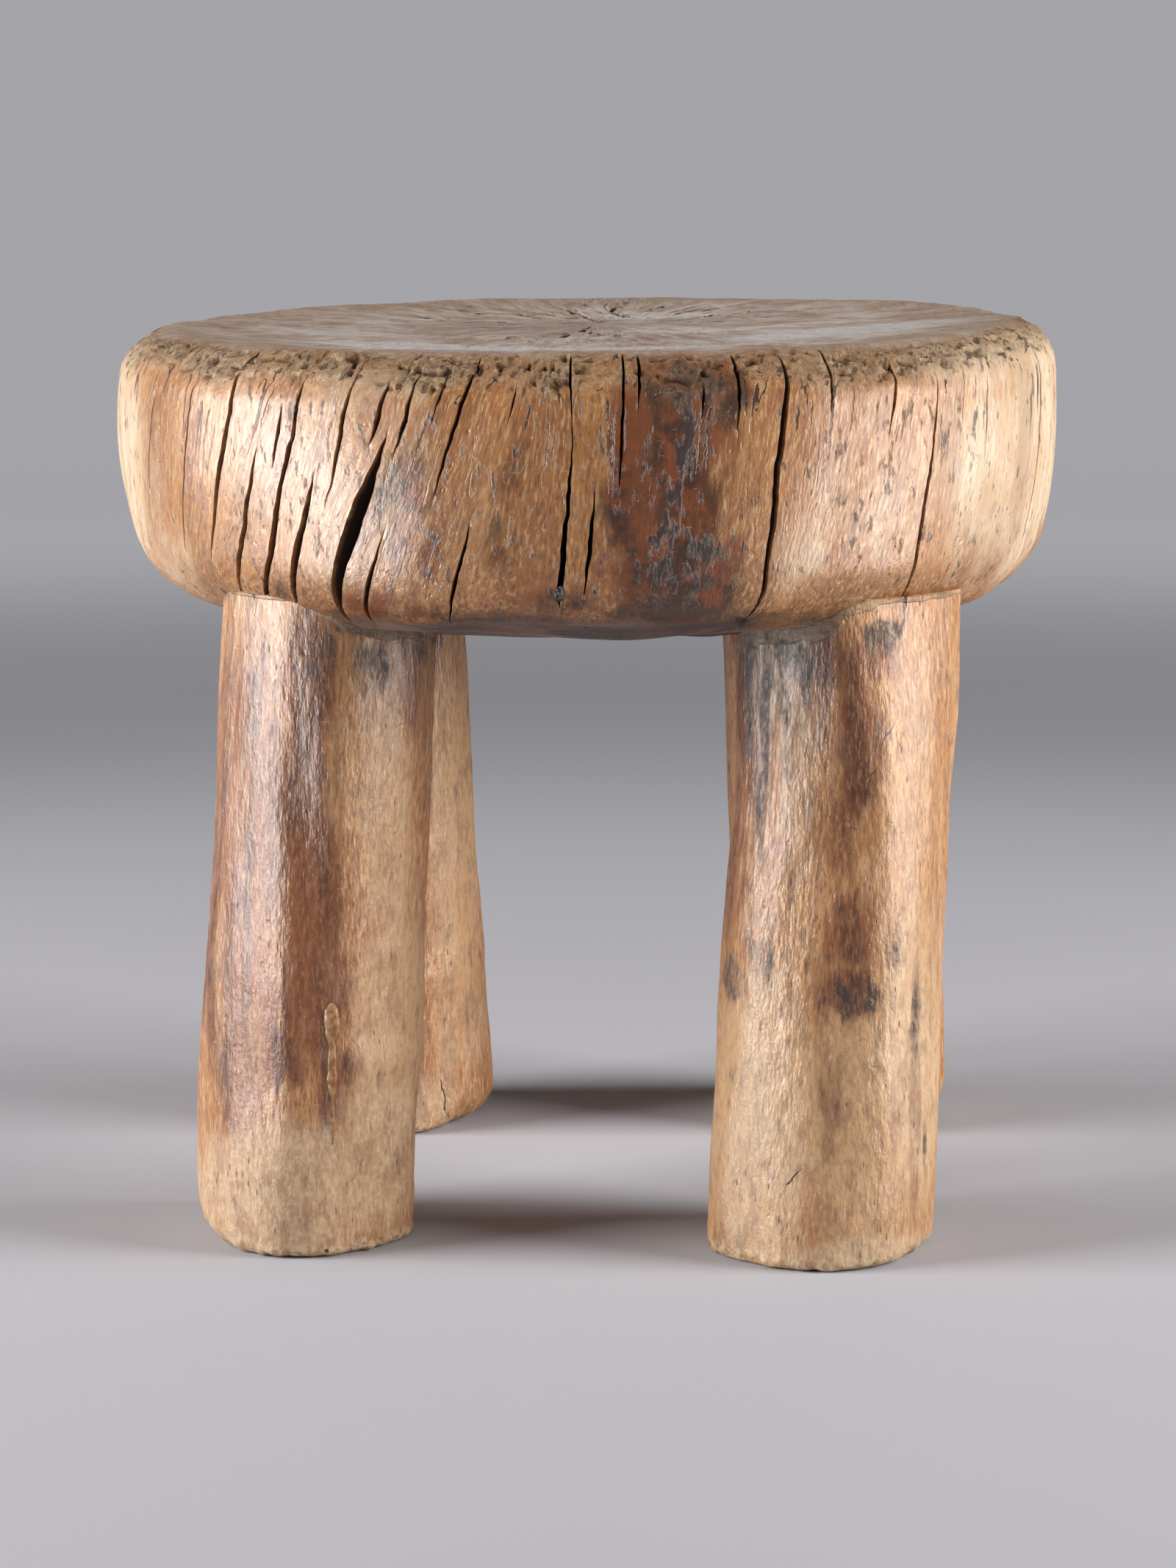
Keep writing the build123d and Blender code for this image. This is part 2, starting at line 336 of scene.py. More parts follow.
crack_depth_shares = (0.0, 0.0, 0.06, 0.62, 1.0, 0.62, 0.06, 0.0, 0.0)
# A crack's mark sets its painted light: 1 deep inside for painted shade, a little on the walls, and -0.6 on
# the lips for a painted highlight.
crack_mark_values = (0.0, -0.6, 0.15, 1.0, 1.0, 1.0, 0.15, -0.6, 0.0)
deepest_crack = 15.0
deep_when_wide = 2.6
spacing_in_front, spacing_behind = 2.3, 2.9
column_turns, column_depth, column_mark = [], [], []
for k in range(len(cracks)):
    own = crack_columns(lines[k], openings[k])
    depth = deepest_crack * (1.0 - np.exp(-openings[k] / deep_when_wide))
    depth = depth + 1.2 * ease(openings[k], 0.0, 0.4)
    shown = ease(openings[k], 0.05, 0.5)
    for turns, share, value in zip(own, crack_depth_shares, crack_mark_values):
        column_turns.append(turns)
        column_depth.append(depth * share)
        column_mark.append(shown * value)
    after = (k + 1) % len(cracks)
    round_again = 360.0 if after == 0 else 0.0
    start = own[-1]
    end = crack_columns(lines[after] + round_again, openings[after])[0]
    spacing = spacing_in_front if -60.0 < lines[k].mean() < 60.0 else spacing_behind
    extra = max(1, int(round((end - start).mean() / degrees_per_mm / spacing)) - 1)
    for share in (np.arange(extra) + 1.0) / (extra + 1.0):
        column_turns.append(start + (end - start) * share)
        column_depth.append(0.0 * start)
        column_mark.append(0.0 * start)
turn, sunk, crack_mark = (np.array(kept).T for kept in (column_turns, column_depth, column_mark))
print("columns:", turn.shape[1])

# %% [markdown]
# ## The seat's skin
# The shell is a lathe shape: each row's circle is pressed a little from front to back, and the
# rim's plane is tipped because the stool has worn unevenly. On that smooth form come the marks
# of the making and of the years: broad flats left by the adze, a rim that has crumbled where
# hands and weather reached it, and the cracks. Each is a push along the surface's own direction.

# %% Points of the shell
radians = np.radians(turn)
facing = np.radians(shell_angle)[:, None]
girth, level = shell_radius[:, None], shell_height[:, None]
smooth = placed(girth * np.sin(radians), -girth * np.cos(radians) * depth_ratio, level)
outward = placed(np.cos(facing) * np.sin(radians), -np.cos(facing) * np.cos(radians), np.sin(facing))
height_grid = smooth[..., 2]
tip = ease(height_grid, 240.0, 304.0)
smooth[..., 2] += tip * (rim_climb_right * smooth[..., 0] + rim_climb_back * smooth[..., 1])
unleaned = turn[np.argmin(np.abs(shell_height - 268.0))]
grain_turn = np.radians(unleaned)
grain = placed(girth * np.sin(grain_turn), -girth * np.cos(grain_turn), level)
around = (turn + 180.0) % 360.0 - 180.0
under = 1.0 - ease(shell_angle[:, None] + 0.0 * turn, -86.0, -62.0)
ragged_line = 8.0 * ripples(grain, 40.0, 3, (1, 1, 3)) + 5.0 * ripples(grain, 9.0, 4, (1, 1, 2))
eroded = ease(shell_angle[:, None] + ragged_line, 6.0, 44.0)
eroded = eroded * (1.0 - ease(shell_angle[:, None] + 0.5 * ragged_line, 66.0, 90.0))
hewn = 0.55 * ripples(grain, 62.0, 21, (1, 1, 1.6)) + 0.22 * ripples(grain, 22.0, 22, (1, 1, 2))
crumbs = 0.40 * ripples(grain, 9.0, 31) - 0.5 * np.abs(ripples(grain, 5.5, 32))
crumbs = crumbs + 0.2 * ripples(grain, 3.4, 33) - 0.1
chunks = ease(ripples(grain, 6.5, 34) + 0.5 * ripples(grain, 3.6, 35), 0.62, 1.05)
chunks = chunks * ease(eroded, 0.25, 0.7)
adze = 0.8 * under * ripples(grain, 26.0, 41, (2.2, 0.8, 1))
sunk = sunk * (1.0 - ease(shell_angle[:, None], 40.0, 72.0))
crack_mark = crack_mark * (1.0 - ease(shell_angle[:, None], 50.0, 80.0))
# The hollows where crumbs broke out of the rim get part of the cracks' painted shade.
crack_mark = np.maximum(crack_mark, 0.30 * chunks)
front_share = ease(around, -34.0, -22.0) * (1.0 - ease(around, 17.0, 28.0))
edge_wave = 3.0 * ripples(smooth, 30.0, 45)
lower_edge = np.exp(-(((shell_angle[:, None] + 40.0 + edge_wave) / 15.0) ** 2)) * (level < 250.0)
# At the front the under mark, which carries the underside's painted shade, starts higher, just below the
# lower edge.
under = np.maximum(under, front_share * (1.0 - ease(shell_angle[:, None] + edge_wave, -50.0, -42.0)))
push = 2.4 * lower_edge * front_share + hewn * (1.0 - 0.6 * under) + eroded * crumbs
push = push - 1.5 * chunks + adze - sunk
closing = ease(shell_radius, 9.0, 40.0)[:, None]
shell_points = smooth + outward * (push * closing)[..., None]
print("shell reaches", shell_points.min(axis=(0, 1)), shell_points.max(axis=(0, 1)))

# %% [markdown]
# The dish is different wood to look at: here the log is cut across, so its pith shows as a point
# behind the middle, with fine rays and small splits running out from it. The columns of the
# shell carry on over the rim and run straight to that point.

# %% Points of the dish and the whole seat
share = ((np.arange(dish_rows) + 1.0)[:, None] / (dish_rows + 1.0)) ** 1.5
rim_start = smooth[0]
dish_x = pith[0] + (rim_start[None, :, 0] - pith[0]) * share
dish_y = pith[1] + (rim_start[None, :, 1] - pith[1]) * share


def dish_height(x, y):
    """Height of the dished top: a ball of large radius pressed into the tipped plane of the rim."""
    out = x * x + (y / depth_ratio) ** 2
    bowl = dish_round - np.sqrt(dish_round**2 - out)
    return top_height - dish_depth + bowl + rim_climb_right * x + rim_climb_back * y


checks = (
    ((-9, 120), (-1, 100), 0.8), ((-1, 100), (4, 84), 0.8), ((-30, 112), (-18, 95), 0.7),
    ((-18, 95), (-4, 84), 0.7), ((12, 130), (9, 112), 1), ((9, 112), (14, 98), 0.7),
    ((15, 98), (21, 92), 0.6), ((25, 98), (20, 84), 0.6), ((48, 96), (30, 84), 0.8),
    ((54, 118), (44, 106), 0.8), ((1, 72), (-3, 60), 1), ((-3, 60), (5, 46), 1.1),
    ((-7, 46), (-9, 38), 1.3), ((-16, 112), (-13, 104), 0.8), ((-50, 118), (-40, 108), 0.7),
    ((30, 124), (24, 112), 0.7), ((-40, 84), (-26, 82), 0.5), ((26, 70), (40, 66), 0.5),
    ((66, 100), (56, 94), 0.6), ((78, 112), (88, 118), 0.6), ((14, 66), (20, 52), 0.5),
    ((-14, 64), (-22, 50), 0.5), ((36, 108), (32, 100), 0.6), ((-62, 96), (-52, 92), 0.5),
)


def cut_lines(x, y, table):
    """Mark of straight checks: 1 on a check's line and 0 beyond its half width. The distance to the
    line is the distance to its nearest point, found by laying the place on the line's own direction."""
    mark = np.zeros(x.shape)
    for (ax, ay), (bx, by), half in table:
        along = ((x - ax) * (bx - ax) + (y - ay) * (by - ay)) / ((bx - ax) ** 2 + (by - ay) ** 2)
        along = np.clip(along, 0.0, 1.0)
        away = np.hypot(x - ax - along * (bx - ax), y - ay - along * (by - ay))
        mark = np.maximum(mark, 1.0 - ease(away, 0.35 * half, 1.15 * half))
    return mark


flat_places = placed(dish_x, dish_y, 0.0)
bent_x = dish_x + 0.8 * ripples(flat_places, 7.0, 54)
bent_y = dish_y + 0.8 * ripples(flat_places, 7.0, 55)
check_mark = cut_lines(bent_x, bent_y, checks)
dish_points = placed(dish_x, dish_y, dish_height(dish_x, dish_y))
worn = 0.28 * ripples(dish_points, 34.0, 51) + 0.08 * ripples(dish_points, 12.0, 52)
worn = worn * ease(share, 0.0, 0.25) * (1.0 - ease(share, 0.9, 1.0))
dish_points[..., 2] += worn - 2.2 * check_mark
seat_grid = np.concatenate([dish_points, shell_points])
blank = np.zeros(dish_x.shape)
crown = ease(shell_angle[:, None] + 0.5 * ragged_line, 62.0, 84.0)
print("dish's lowest point:", dish_points[..., 2].min())

# %% [markdown]
# Colour marks are painted on the same grid, by how far round from the front and how high. A
# dark, reddish zone with a black crust runs down a little right of the middle, the ends are
# paler, and dirt has gathered along the lower edge. The back gets marks of the same kind.

# %% Marks on the seat
height_now = shell_points[..., 2]
stain_mark = spots(around, height_now, (
    (9.5, 292, 8, 28, 1), (8.5, 262, 8, 28, 1), (10, 238, 9.5, 18, 1), (14.5, 302, 4.5, 12, 0.9),
    (-3, 232, 9, 6, 0.45), (-12, 252, 5, 12, 0.35), (-9, 276, 5, 12, 0.3), (16, 246, 3, 12, 0.6),
    (-24, 228, 9, 8, 0.5), (-40, 230, 8, 7, 0.35), (-21, 256, 6, 28, 0.5), (122, 268, 12, 40, 0.7),
    (-150, 255, 16, 30, 0.6), (172, 290, 14, 18, 0.5), (78, 240, 12, 10, 0.4), (-100, 236, 14, 10, 0.45),
), wrap=360.0)
crust_mark = spots(around, height_now, (
    (10.6, 307, 1.2, 6, 0.75), (10.9, 297, 1.3, 8, 0.7), (11.5, 287, 0.8, 8, 0.75),
    (10.6, 277, 1.1, 8, 0.7), (9.9, 267, 1.1, 8, 0.8), (8.9, 256, 1.2, 8, 0.75), (8, 247, 1.3, 8, 0.7),
    (10, 240, 4.5, 8, 0.42), (14.8, 303, 1.8, 4, 0.75), (14, 296, 0.7, 8, 0.7), (6.5, 236, 4, 6, 0.4),
    (13.2, 248, 2.5, 10, 0.4), (122, 280, 3, 18, 0.8), (-151, 262, 3, 14, 0.7),
), wrap=360.0)
pale_mark = spots(around, height_now, (
    (-81, 268, 19, 42, 1), (-62, 236, 9, 14, 0.4), (68, 268, 25, 42, 1), (36, 262, 11, 28, 0.15),
    (70, 304, 32, 12, 0.8), (-130, 285, 20, 24, 0.6), (100, 285, 16, 20, 0.6), (150, 260, 16, 26, 0.6),
    (-172, 248, 12, 20, 0.5), (-27, 300, 8, 8, 0.3), (24, 246, 5, 16, 0.35),
), wrap=360.0)
grime_mark = spots(around, height_now, (
    (-4, 226, 26, 3, 0.45), (12, 226, 12, 5, 0.7), (-3.4, 234, 1, 3, 0.9), (-36, 222, 14, 4, 0.6),
    (30, 223, 8, 4, 0.5), (90, 222, 30, 5, 0.5), (-100, 222, 40, 5, 0.5), (180, 223, 40, 5, 0.6),
), wrap=360.0)
rust_mark = spots(around, height_now, (
    (-6.5, 238, 3, 7, 1), (-10, 231, 5, 4, 0.6), (3.5, 240, 2, 12, 0.6), (5, 290, 3, 18, 0.8),
    (6, 265, 2.5, 16, 0.7), (13.5, 285, 2.5, 14, 0.7), (13.5, 260, 2.5, 20, 0.5), (8, 312, 6, 5, 0.8),
    (-21, 250, 2, 12, 0.5), (17.5, 240, 1.6, 8, 0.5), (118, 262, 4, 20, 0.6), (-146, 250, 5, 16, 0.5),
), wrap=360.0)
# Darker brown patches on the dish; the wide one across the back is partly painted shade, where the top
# mirrors less light.
dish_dark_patches = spots(dish_x, dish_y, (
    (-30, 62, 50, 34, 0.8), (0, 140, 120, 24, 0.7), (60, 80, 60, 24, 0.35), (-110, 20, 30, 60, 0.4),
    (10, 20, 90, 8, 0.35),
))
# Paler patches painted on the dish as sheen, where the top mirrors the backdrop; they are glossier too.
dish_sheen_patches = spots(dish_x, dish_y, (
    (-60, -20, 60, 18, 1), (10, -26, 70, 12, 0.8), (96, 8, 50, 22, 0.9), (40, 50, 40, 12, 0.5),
    (-90, 30, 40, 12, 0.6), (24, 100, 30, 10, 0.7), (0, -90, 80, 40, 0.6),
))
split_edge = ease(height_now, 262.0, 300.0) * (1.0 - ease(eroded, 0.5, 1.0))
# The crack mark paints shade into the cracks, the dish's checks and the rim's hollows, and a highlight onto
# the cracks' lips.
on_dish_and_shell = {
    "grain": (dish_points * MM, grain * MM), "crack": (check_mark, crack_mark),
    "top": (blank + 1.0, crown), "crest": (ease(share + blank, 0.72, 1.0), 1.0 + 0.0 * eroded),
    "rim": (blank, eroded), "edge": (blank, split_edge), "under": (blank, under),
    "stain": (dish_dark_patches, stain_mark), "pale": (dish_sheen_patches, pale_mark), "rust": (blank, rust_mark),
    "crust": (blank, crust_mark), "grime": (blank, grime_mark),
}
seat_marks = {name: np.concatenate(pair) for name, pair in on_dish_and_shell.items()}
pole_top = (pith[0], pith[1], float(dish_height(*pith)))
pole_under = (0.0, 0.0, float(shell_points[-1, :, 2].mean()))
seat = closed_skin("seat_wood_skin", seat_grid, pole_top, pole_under, True, seat_marks)
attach(seat, "root")
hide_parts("seat")

# %% [markdown]
# ## The legs
# A leg is a stout post, hewn to a rounded square and worn almost round. Its section is a
# superellipse, whose power of 2.2 gives the right corners. The section's size, place and turn
# change smoothly from the foot to the seat. The foot's edge is worn rounder on the side that
# drags on the ground, and the top ends a few millimetres inside the seat, just above the crease.

# %% Sizes of the legs, from the foot up
leg_half = 37.5
leg_ring = 122.25
leg_reach = 229.0
corner_power = 2.2
leg_stations = (0.0, 0.15, 0.44, 0.76, 1.0)
legs = {
    "front_left": dict(
        foot=(-0.82, -0.72), top=(-0.725, -0.71), turns=(40, 47), girths=(0.97, 0.99, 0.985, 0.955, 0.93),
        worn_side=-95, worn=14.0, band=3.0, band_to=(-88, 1), seed=100,
        swells=((-72, 66, 18, 9, 1.1), (-108, 26, 20, 30, 3.4), (-96, 140, 8, 50, -0.9))),
    "front_right": dict(
        foot=(0.655, -0.865), top=(0.75, -0.74), turns=(-36, -24), girths=(1.01, 1.02, 0.985, 0.97, 0.995),
        worn_side=70, worn=5.0, band=5.2, band_to=(94, -1), seed=200,
        swells=((60, 160, 7, 60, -0.8), (86, 95, 10, 20, -0.5))),
    "rear_left": dict(
        foot=(-0.61, 0.76), top=(-0.70, 0.73), turns=(38, 44), girths=(0.96, 0.96, 0.945, 0.935, 0.93),
        worn_side=75, worn=13.0, band=3.0, band_to=(-80, 1), seed=300,
        swells=((-60, 60, 12, 10, 0.7),)),
    "rear_right": dict(
        foot=(0.805, 0.78), top=(0.725, 0.74), turns=(28, 36), girths=(1.04, 1.05, 1.01, 0.98, 0.97),
        worn_side=80, worn=14.0, band=3.0, band_to=(90, -1), seed=400,
        swells=((100, 70, 12, 12, 0.7),)),
}


def seat_under(x, y):
    """Height at which an upright line meets the seat from below: the slope, then the lower round."""
    radius = np.hypot(x, y / depth_ratio)
    along = np.clip(radius - lower_middle[0], 0.0, lower_round)
    corner = lower_middle[1] - np.sqrt(lower_round**2 - along**2)
    return np.where(radius < slope_end, belly_height(radius), corner)


def leg_section(up, angle, leg):
    """Plan of a leg at a share of its height. In its own turned frame a point at an angle lies where
    (|cos| to the power n plus |sin| to the power n), to the power of minus 1/n, times the half width."""
    girth = np.polyval(np.polyfit(leg_stations, leg["girths"], 4), up)
    flat_turn = np.radians(leg["turns"][0] + (leg["turns"][1] - leg["turns"][0]) * up)
    own = angle - flat_turn
    spread = np.abs(np.cos(own)) ** corner_power + np.abs(np.sin(own)) ** corner_power
    reach = leg_half * girth * spread ** (-1.0 / corner_power)
    x = leg_ring * (leg["foot"][0] + (leg["top"][0] - leg["foot"][0]) * up)
    y = leg_ring * depth_ratio * (leg["foot"][1] + (leg["top"][1] - leg["foot"][1]) * up)
    return x, y, reach


# %% Skin of one leg
def leg_points(leg, columns=190):
    """Grid of a leg's skin with the marks that its finish needs. Rows run over the sole, round the
    foot's worn edge, up the post and in over the top. A share of the height gives each row its place."""
    angle = np.linspace(0.0, 2.0 * math.pi, columns, endpoint=False)[None, :]
    low = np.array([0.0, 0.25, 0.7, 1.3, 2.1, 3.1, 4.3, 5.7, 7.3, 9.1, 11.1, 13.3, 15.7])
    high = np.arange(18.0, 206.0, 2.1)
    near_top = [10.5, 8.4, 6.9, 6.0, 5.4, 4.8, 4.1, 3.4, 2.8, 2.2, 1.6, 1.0, 0.5, 0.0]
    near_top = 1.0 - np.array(near_top) / 225.0
    top_x, top_y, top_reach = leg_section(0.985, angle, leg)
    seam = seat_under(top_x + top_reach * np.cos(angle), top_y + top_reach * np.sin(angle))
    seam = np.minimum(seam, leg_reach - 1.2)
    meet = np.minimum(seam + 3.0, leg_reach - 0.6)
    middle = (high / 215.0)[:, None] * (meet - 9.0)
    height = np.concatenate([low[:, None] + 0.0 * angle, middle, near_top[:, None] * meet])
    up = height / leg_reach
    x, y, reach = leg_section(up, angle, leg)
    post = placed(x + reach * np.cos(angle), y + reach * np.sin(angle), height)
    seed = leg["seed"]
    away = np.degrees(angle) + 90.0 - leg["worn_side"]
    away = (away + 180.0) % 360.0 - 180.0
    chips = 0.9 * ripples(post, 9.0, seed + 1, (1, 1, 40)) + 0.5 * ripples(post, 4.0, seed + 2, (1, 1, 40))
    foot_round = 2.6 + leg["worn"] * np.exp(-((away / 42.0) ** 2)) + chips
    foot_round = np.clip(foot_round, 0.8, None)
    lack = np.clip(foot_round - height, 0.0, None)
    trim = foot_round - np.sqrt(foot_round**2 - lack**2)
    hewn = 0.75 * ripples(post, 30.0, seed + 3, (1, 1, 6)) + 0.25 * ripples(post, 11.0, seed + 4, (1, 1, 7))
    wander = 0.22 * ripples(placed(height, seed, 0.0), 160.0, seed + 9)
    flats = 9.0 * (angle + wander) / (2.0 * math.pi)
    ridge = 2.0 * (flats - np.floor(flats)) - 1.0
    hewn += 0.11 * (ridge**2 - 0.5) + 0.35 * ripples(post, 22.0, seed + 10, (1, 1, 2.5))
    hewn += 0.10 * ripples(post, 7.0, seed + 5, (1, 1, 2))
    hewn += signed_spots(post[..., 0], post[..., 2], leg["swells"])
    below = seam - height
    edge = leg["band"] * (1.0 + 0.25 * ripples(post, 9.0, seed + 6))
    border, side = leg["band_to"]
    edge = edge * (0.22 + 0.78 * ease(side * post[..., 0], side * border - 14.0, side * border + 14.0))
    band = ease(below, -1.0, 0.3) * (1.0 - ease(below, edge - 0.5, edge + 0.4))
    lift = band * (0.18 + 0.05 * ripples(post, 5.0, seed + 7, (3, 3, 1)))
    rough = (1.0 - ease(height, 3.0, 12.0)) * 0.3 * ripples(post, 3.5, seed + 8)
    fade = ease(height, 0.0, 1.5)
    out = hewn * (0.4 + 0.6 * fade) + lift + rough * fade - trim
    reach = reach + out
    grid = placed(x + reach * np.cos(angle), y + reach * np.sin(angle), height)
    from_axis = np.hypot(grid[..., 0], grid[..., 1] / depth_ratio)
    seat_edge = lower_middle[0] + 0.74 * lower_round
    spare = np.clip(leg_reach - height, 0.0, None)
    allowed = seat_edge + 0.10 * spare + 0.0009 * spare**2
    beyond = (allowed + 3.5 - from_axis) / 3.5
    pull = (allowed + 3.5 - 3.5 * np.log1p(np.exp(beyond))) / from_axis
    grid[..., :2] *= pull[..., None]
    sole = placed(x[0], y[0], 0.0 * angle)
    cap = placed(x[-1], y[-1], height[-1:])
    inner = [sole[0] + (grid[0] - sole[0]) * s for s in (0.35, 0.7, 0.93)]
    lid = [cap[0] + (grid[-1] - cap[0]) * s for s in (0.75, 0.4)]
    whole = np.concatenate([inner, grid, lid])
    ends = (sole[0].mean(axis=0), cap[0].mean(axis=0))
    return whole, ends, np.concatenate([np.zeros((3, columns)), band, np.zeros((2, columns))])


# %% [markdown]
# The legs' marks are painted by place, as seen from the front or from the side: black blotches
# and dark runs under the seat, a brown zone down the front left leg, dry pale feet with dust,
# and paler, golden wood on the parts that hands and knees rub.

# %% Table of marks on the legs
leg_stains = {
    "front_left": dict(
        stain=((-116, 140, 18, 90, 0.8), (-110, 140, 10, 36, 0.95), (-120, 60, 12, 22, 0.75),
            (-96, 200, 12, 26, 0.9), (-98, 165, 10, 34, 0.85), (-95, 128, 12, 38, 1),
            (-94, 92, 13, 28, 1), (-98, 160, 7, 24, 0.7), (-104, 70, 10, 14, 0.9),
            # The spot at -88, 62 darkens the wood along the dried drip: partly dark wood beside it, partly
            # painted shade round the drip's edge.
            (-88, 62, 4.2, 26, 0.9), (-131, 150, 6, 90, 0.85), (-60, 196, 5, 24, 0.7),
            (-84, 66, 7, 9, 0.8), (-66, 28, 1.2, 8, 0.9), (-112, 104, 6, 14, 0.6),
            (-74, 205, 14, 10, 0.5)),
        soot=((-90, 213, 5, 4, 0.9), (-81, 219, 6, 4, 1.2), (-72, 218, 5, 4, 1.2), (-93, 207, 3, 6, 0.6),
            (-69, 206, 2.6, 9, 1.2), (-57, 208, 2.2, 9, 1.2), (-51, 212, 3, 6, 1.1),
            (-63, 210, 2, 10, 0.9), (-76, 208, 9, 6, 0.5), (-88, 72, 4, 8, 0.7), (-87, 84, 3, 12, 0.5),
            (-70, 198, 2, 8, 0.5)),
        dust=((-124, 16, 22, 26, 1), (-100, 24, 22, 28, 0.9), (-72, 34, 20, 32, 0.8)),
        pale=((-68, 140, 9, 60, 0.7), (-66, 80, 15, 40, 1.3)),
    ),
    "front_right": dict(
        stain=((88, 208, 16, 14, 0.85), (90, 180, 14, 26, 0.7), (80, 150, 12, 20, 0.55),
            (90, 116, 14, 16, 0.6), (90, 96, 15, 9, 0.75), (56, 190, 7, 40, 0.8), (50, 150, 7, 60, 0.5),
            (76, 206, 16, 7, 0.8), (112, 60, 2.6, 44, 0.8), (82, 62, 5, 26, 0.4)),
        soot=((99, 215, 8, 7, 1.4), (88, 212, 5, 5, 0.8), (81, 200, 2, 10, 0.7), (56, 207, 1.6, 8, 0.9),
            (61, 205, 2.2, 14, 1.3), (60.4, 180, 1.9, 24, 1.3), (55.2, 190, 1.6, 22, 1.2),
            (58.6, 156, 1.5, 20, 1.1), (68, 208, 9, 7, 1), (74, 202, 4, 10, 0.8), (66, 196, 3, 12, 0.7),
            (50, 96, 5, 10, 0.95), (66, 102, 14, 12, 0.6), (68, 118, 7, 8, 0.45), (90, 96, 14, 16, 0.58),
            (93, 90, 4, 6, 0.8), (103, 110, 4, 12, 0.65), (112, 82, 2.4, 14, 0.9),
            (99, 180, 2.2, 12, 0.6), (92, 152, 4, 1.4, 0.8), (86, 146, 3, 1.2, 0.6),
            (116, 40, 1.6, 12, 0.6)),
        dust=((92, 5, 26, 8, 1), (60, 36, 14, 36, 0.45), (112, 60, 12, 40, 0.4)),
        pale=((112, 170, 9, 60, 0.35), (60, 50, 20, 54, 1.3), (92, 45, 22, 46, 1.2),
            (72, 170, 7, 40, 0.5), (112, 70, 12, 60, 1.1)),
    ),
    "rear_left": dict(
        stain=((-60, 195, 8, 26, 0.7), (-90, 120, 20, 60, 0.5), (-70, 60, 10, 22, 0.3)),
        soot=((-70, 206, 8, 8, 0.6), (-100, 204, 10, 8, 0.7)),
        dust=((-75, 12, 30, 16, 0.8), (-50, 40, 14, 24, 0.5)),
        pale=((-50, 110, 10, 80, 0.8), (-110, 90, 10, 60, 0.5)),
    ),
    "rear_right": dict(
        stain=((70, 195, 12, 30, 0.7), (100, 130, 16, 60, 0.5), (60, 200, 10, 24, 0.6)),
        soot=((80, 206, 12, 8, 0.7), (110, 200, 8, 10, 0.5)),
        dust=((98, 12, 34, 16, 0.8), (120, 50, 12, 30, 0.4)),
        pale=((120, 110, 10, 70, 0.8), (76, 60, 12, 40, 0.5)),
    ),
}

# %% The four legs
leg_skins = {}
for name, leg in legs.items():
    grid, ends, band = leg_points(leg)
    marks = {"grain": grid * MM, "cut": band}
    for mark, table in leg_stains[name].items():
        marks[mark] = spots(grid[..., 0], grid[..., 2], table)
    piece = closed_skin(f"leg_{name}_skin", grid, ends[0], ends[1], False, marks)
    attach(piece, "root")
    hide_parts(f"leg_{name}")
    leg_skins[name] = (piece, grid)

# %% [markdown]
# ## Pitch and the dried drip
# Two small things aren't wood: a lump of black pitch at the foot of one crack, and a run of putty
# that dried on the front left leg. Each is one skin. The lump is an uneven ball. The run is a
# row of rings whose size swells and narrows along its length, laid on the leg's own front.

# %% Pitch plug
plug_low, plug_high = (np.array(corner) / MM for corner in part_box("pitch_plug"))


def pitch_lump(rows=26, columns=40):
    """An ellipsoid between the CAD lump's corners, pushed in and out by up to a tenth of its size."""
    down = (np.arange(rows) + 1.0)[:, None] / (rows + 1.0) * math.pi
    round_it = np.linspace(0.0, 2.0 * math.pi, columns, endpoint=False)[None, :]
    ball = placed(np.sin(down) * np.cos(round_it), np.sin(down) * np.sin(round_it), np.cos(down))
    lumps = 1.0 + 0.10 * ripples(ball, 0.9, 61) + 0.05 * ripples(ball, 0.35, 62)
    middle, half = (plug_low + plug_high) / 2.0, (plug_high - plug_low) / 2.0
    return middle + ball * lumps[..., None] * half * (0.98, 1.0, 0.98), middle, half


lump_grid, lump_middle, lump_half = pitch_lump()
up = np.array((0.0, 0.0, lump_half[2]))
plug = closed_skin("pitch_plug_skin", lump_grid, lump_middle + up, lump_middle - up, True, {})
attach(plug, "root")
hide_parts("pitch_plug")

# %% Dried drip
drip_low, drip_high = (np.array(corner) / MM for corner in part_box("dried_drip"))
drip_stations = (0, 0.05, 0.12, 0.17, 0.22, 0.27, 0.33, 0.45, 0.55, 0.61, 0.66, 0.72, 0.80, 0.92, 1)
drip_widths = (0.3, 2.5, 2.9, 2.6, 2.3, 1.2, 1.3, 1.55, 1.75, 1.3, 0.6, 0.55, 0.7, 0.9, 0.3)
drip_inset = 3.0


def front_of(grid, x, height):
    """How far forward the leg's skin stands at places across and up, read from its own grid."""
    rows = np.clip(np.searchsorted(grid[3:-2, :, 2].mean(axis=1), height) + 3, 3, grid.shape[0] - 3)
    at_back = grid[rows, :, 1] > grid[rows, :, 1].mean()
    away = np.abs(grid[rows, :, 0] - x[:, None]) + np.where(at_back, 1e3, 0.0)
    return grid[rows, away.argmin(axis=1), 1]


def evened(values, reach):
    """Each value replaced by the mean of itself and of as many neighbours on each side as reach says."""
    share = np.ones(2 * reach + 1) / (2.0 * reach + 1.0)
    return np.convolve(np.pad(values, reach, mode="edge"), share, mode="valid")


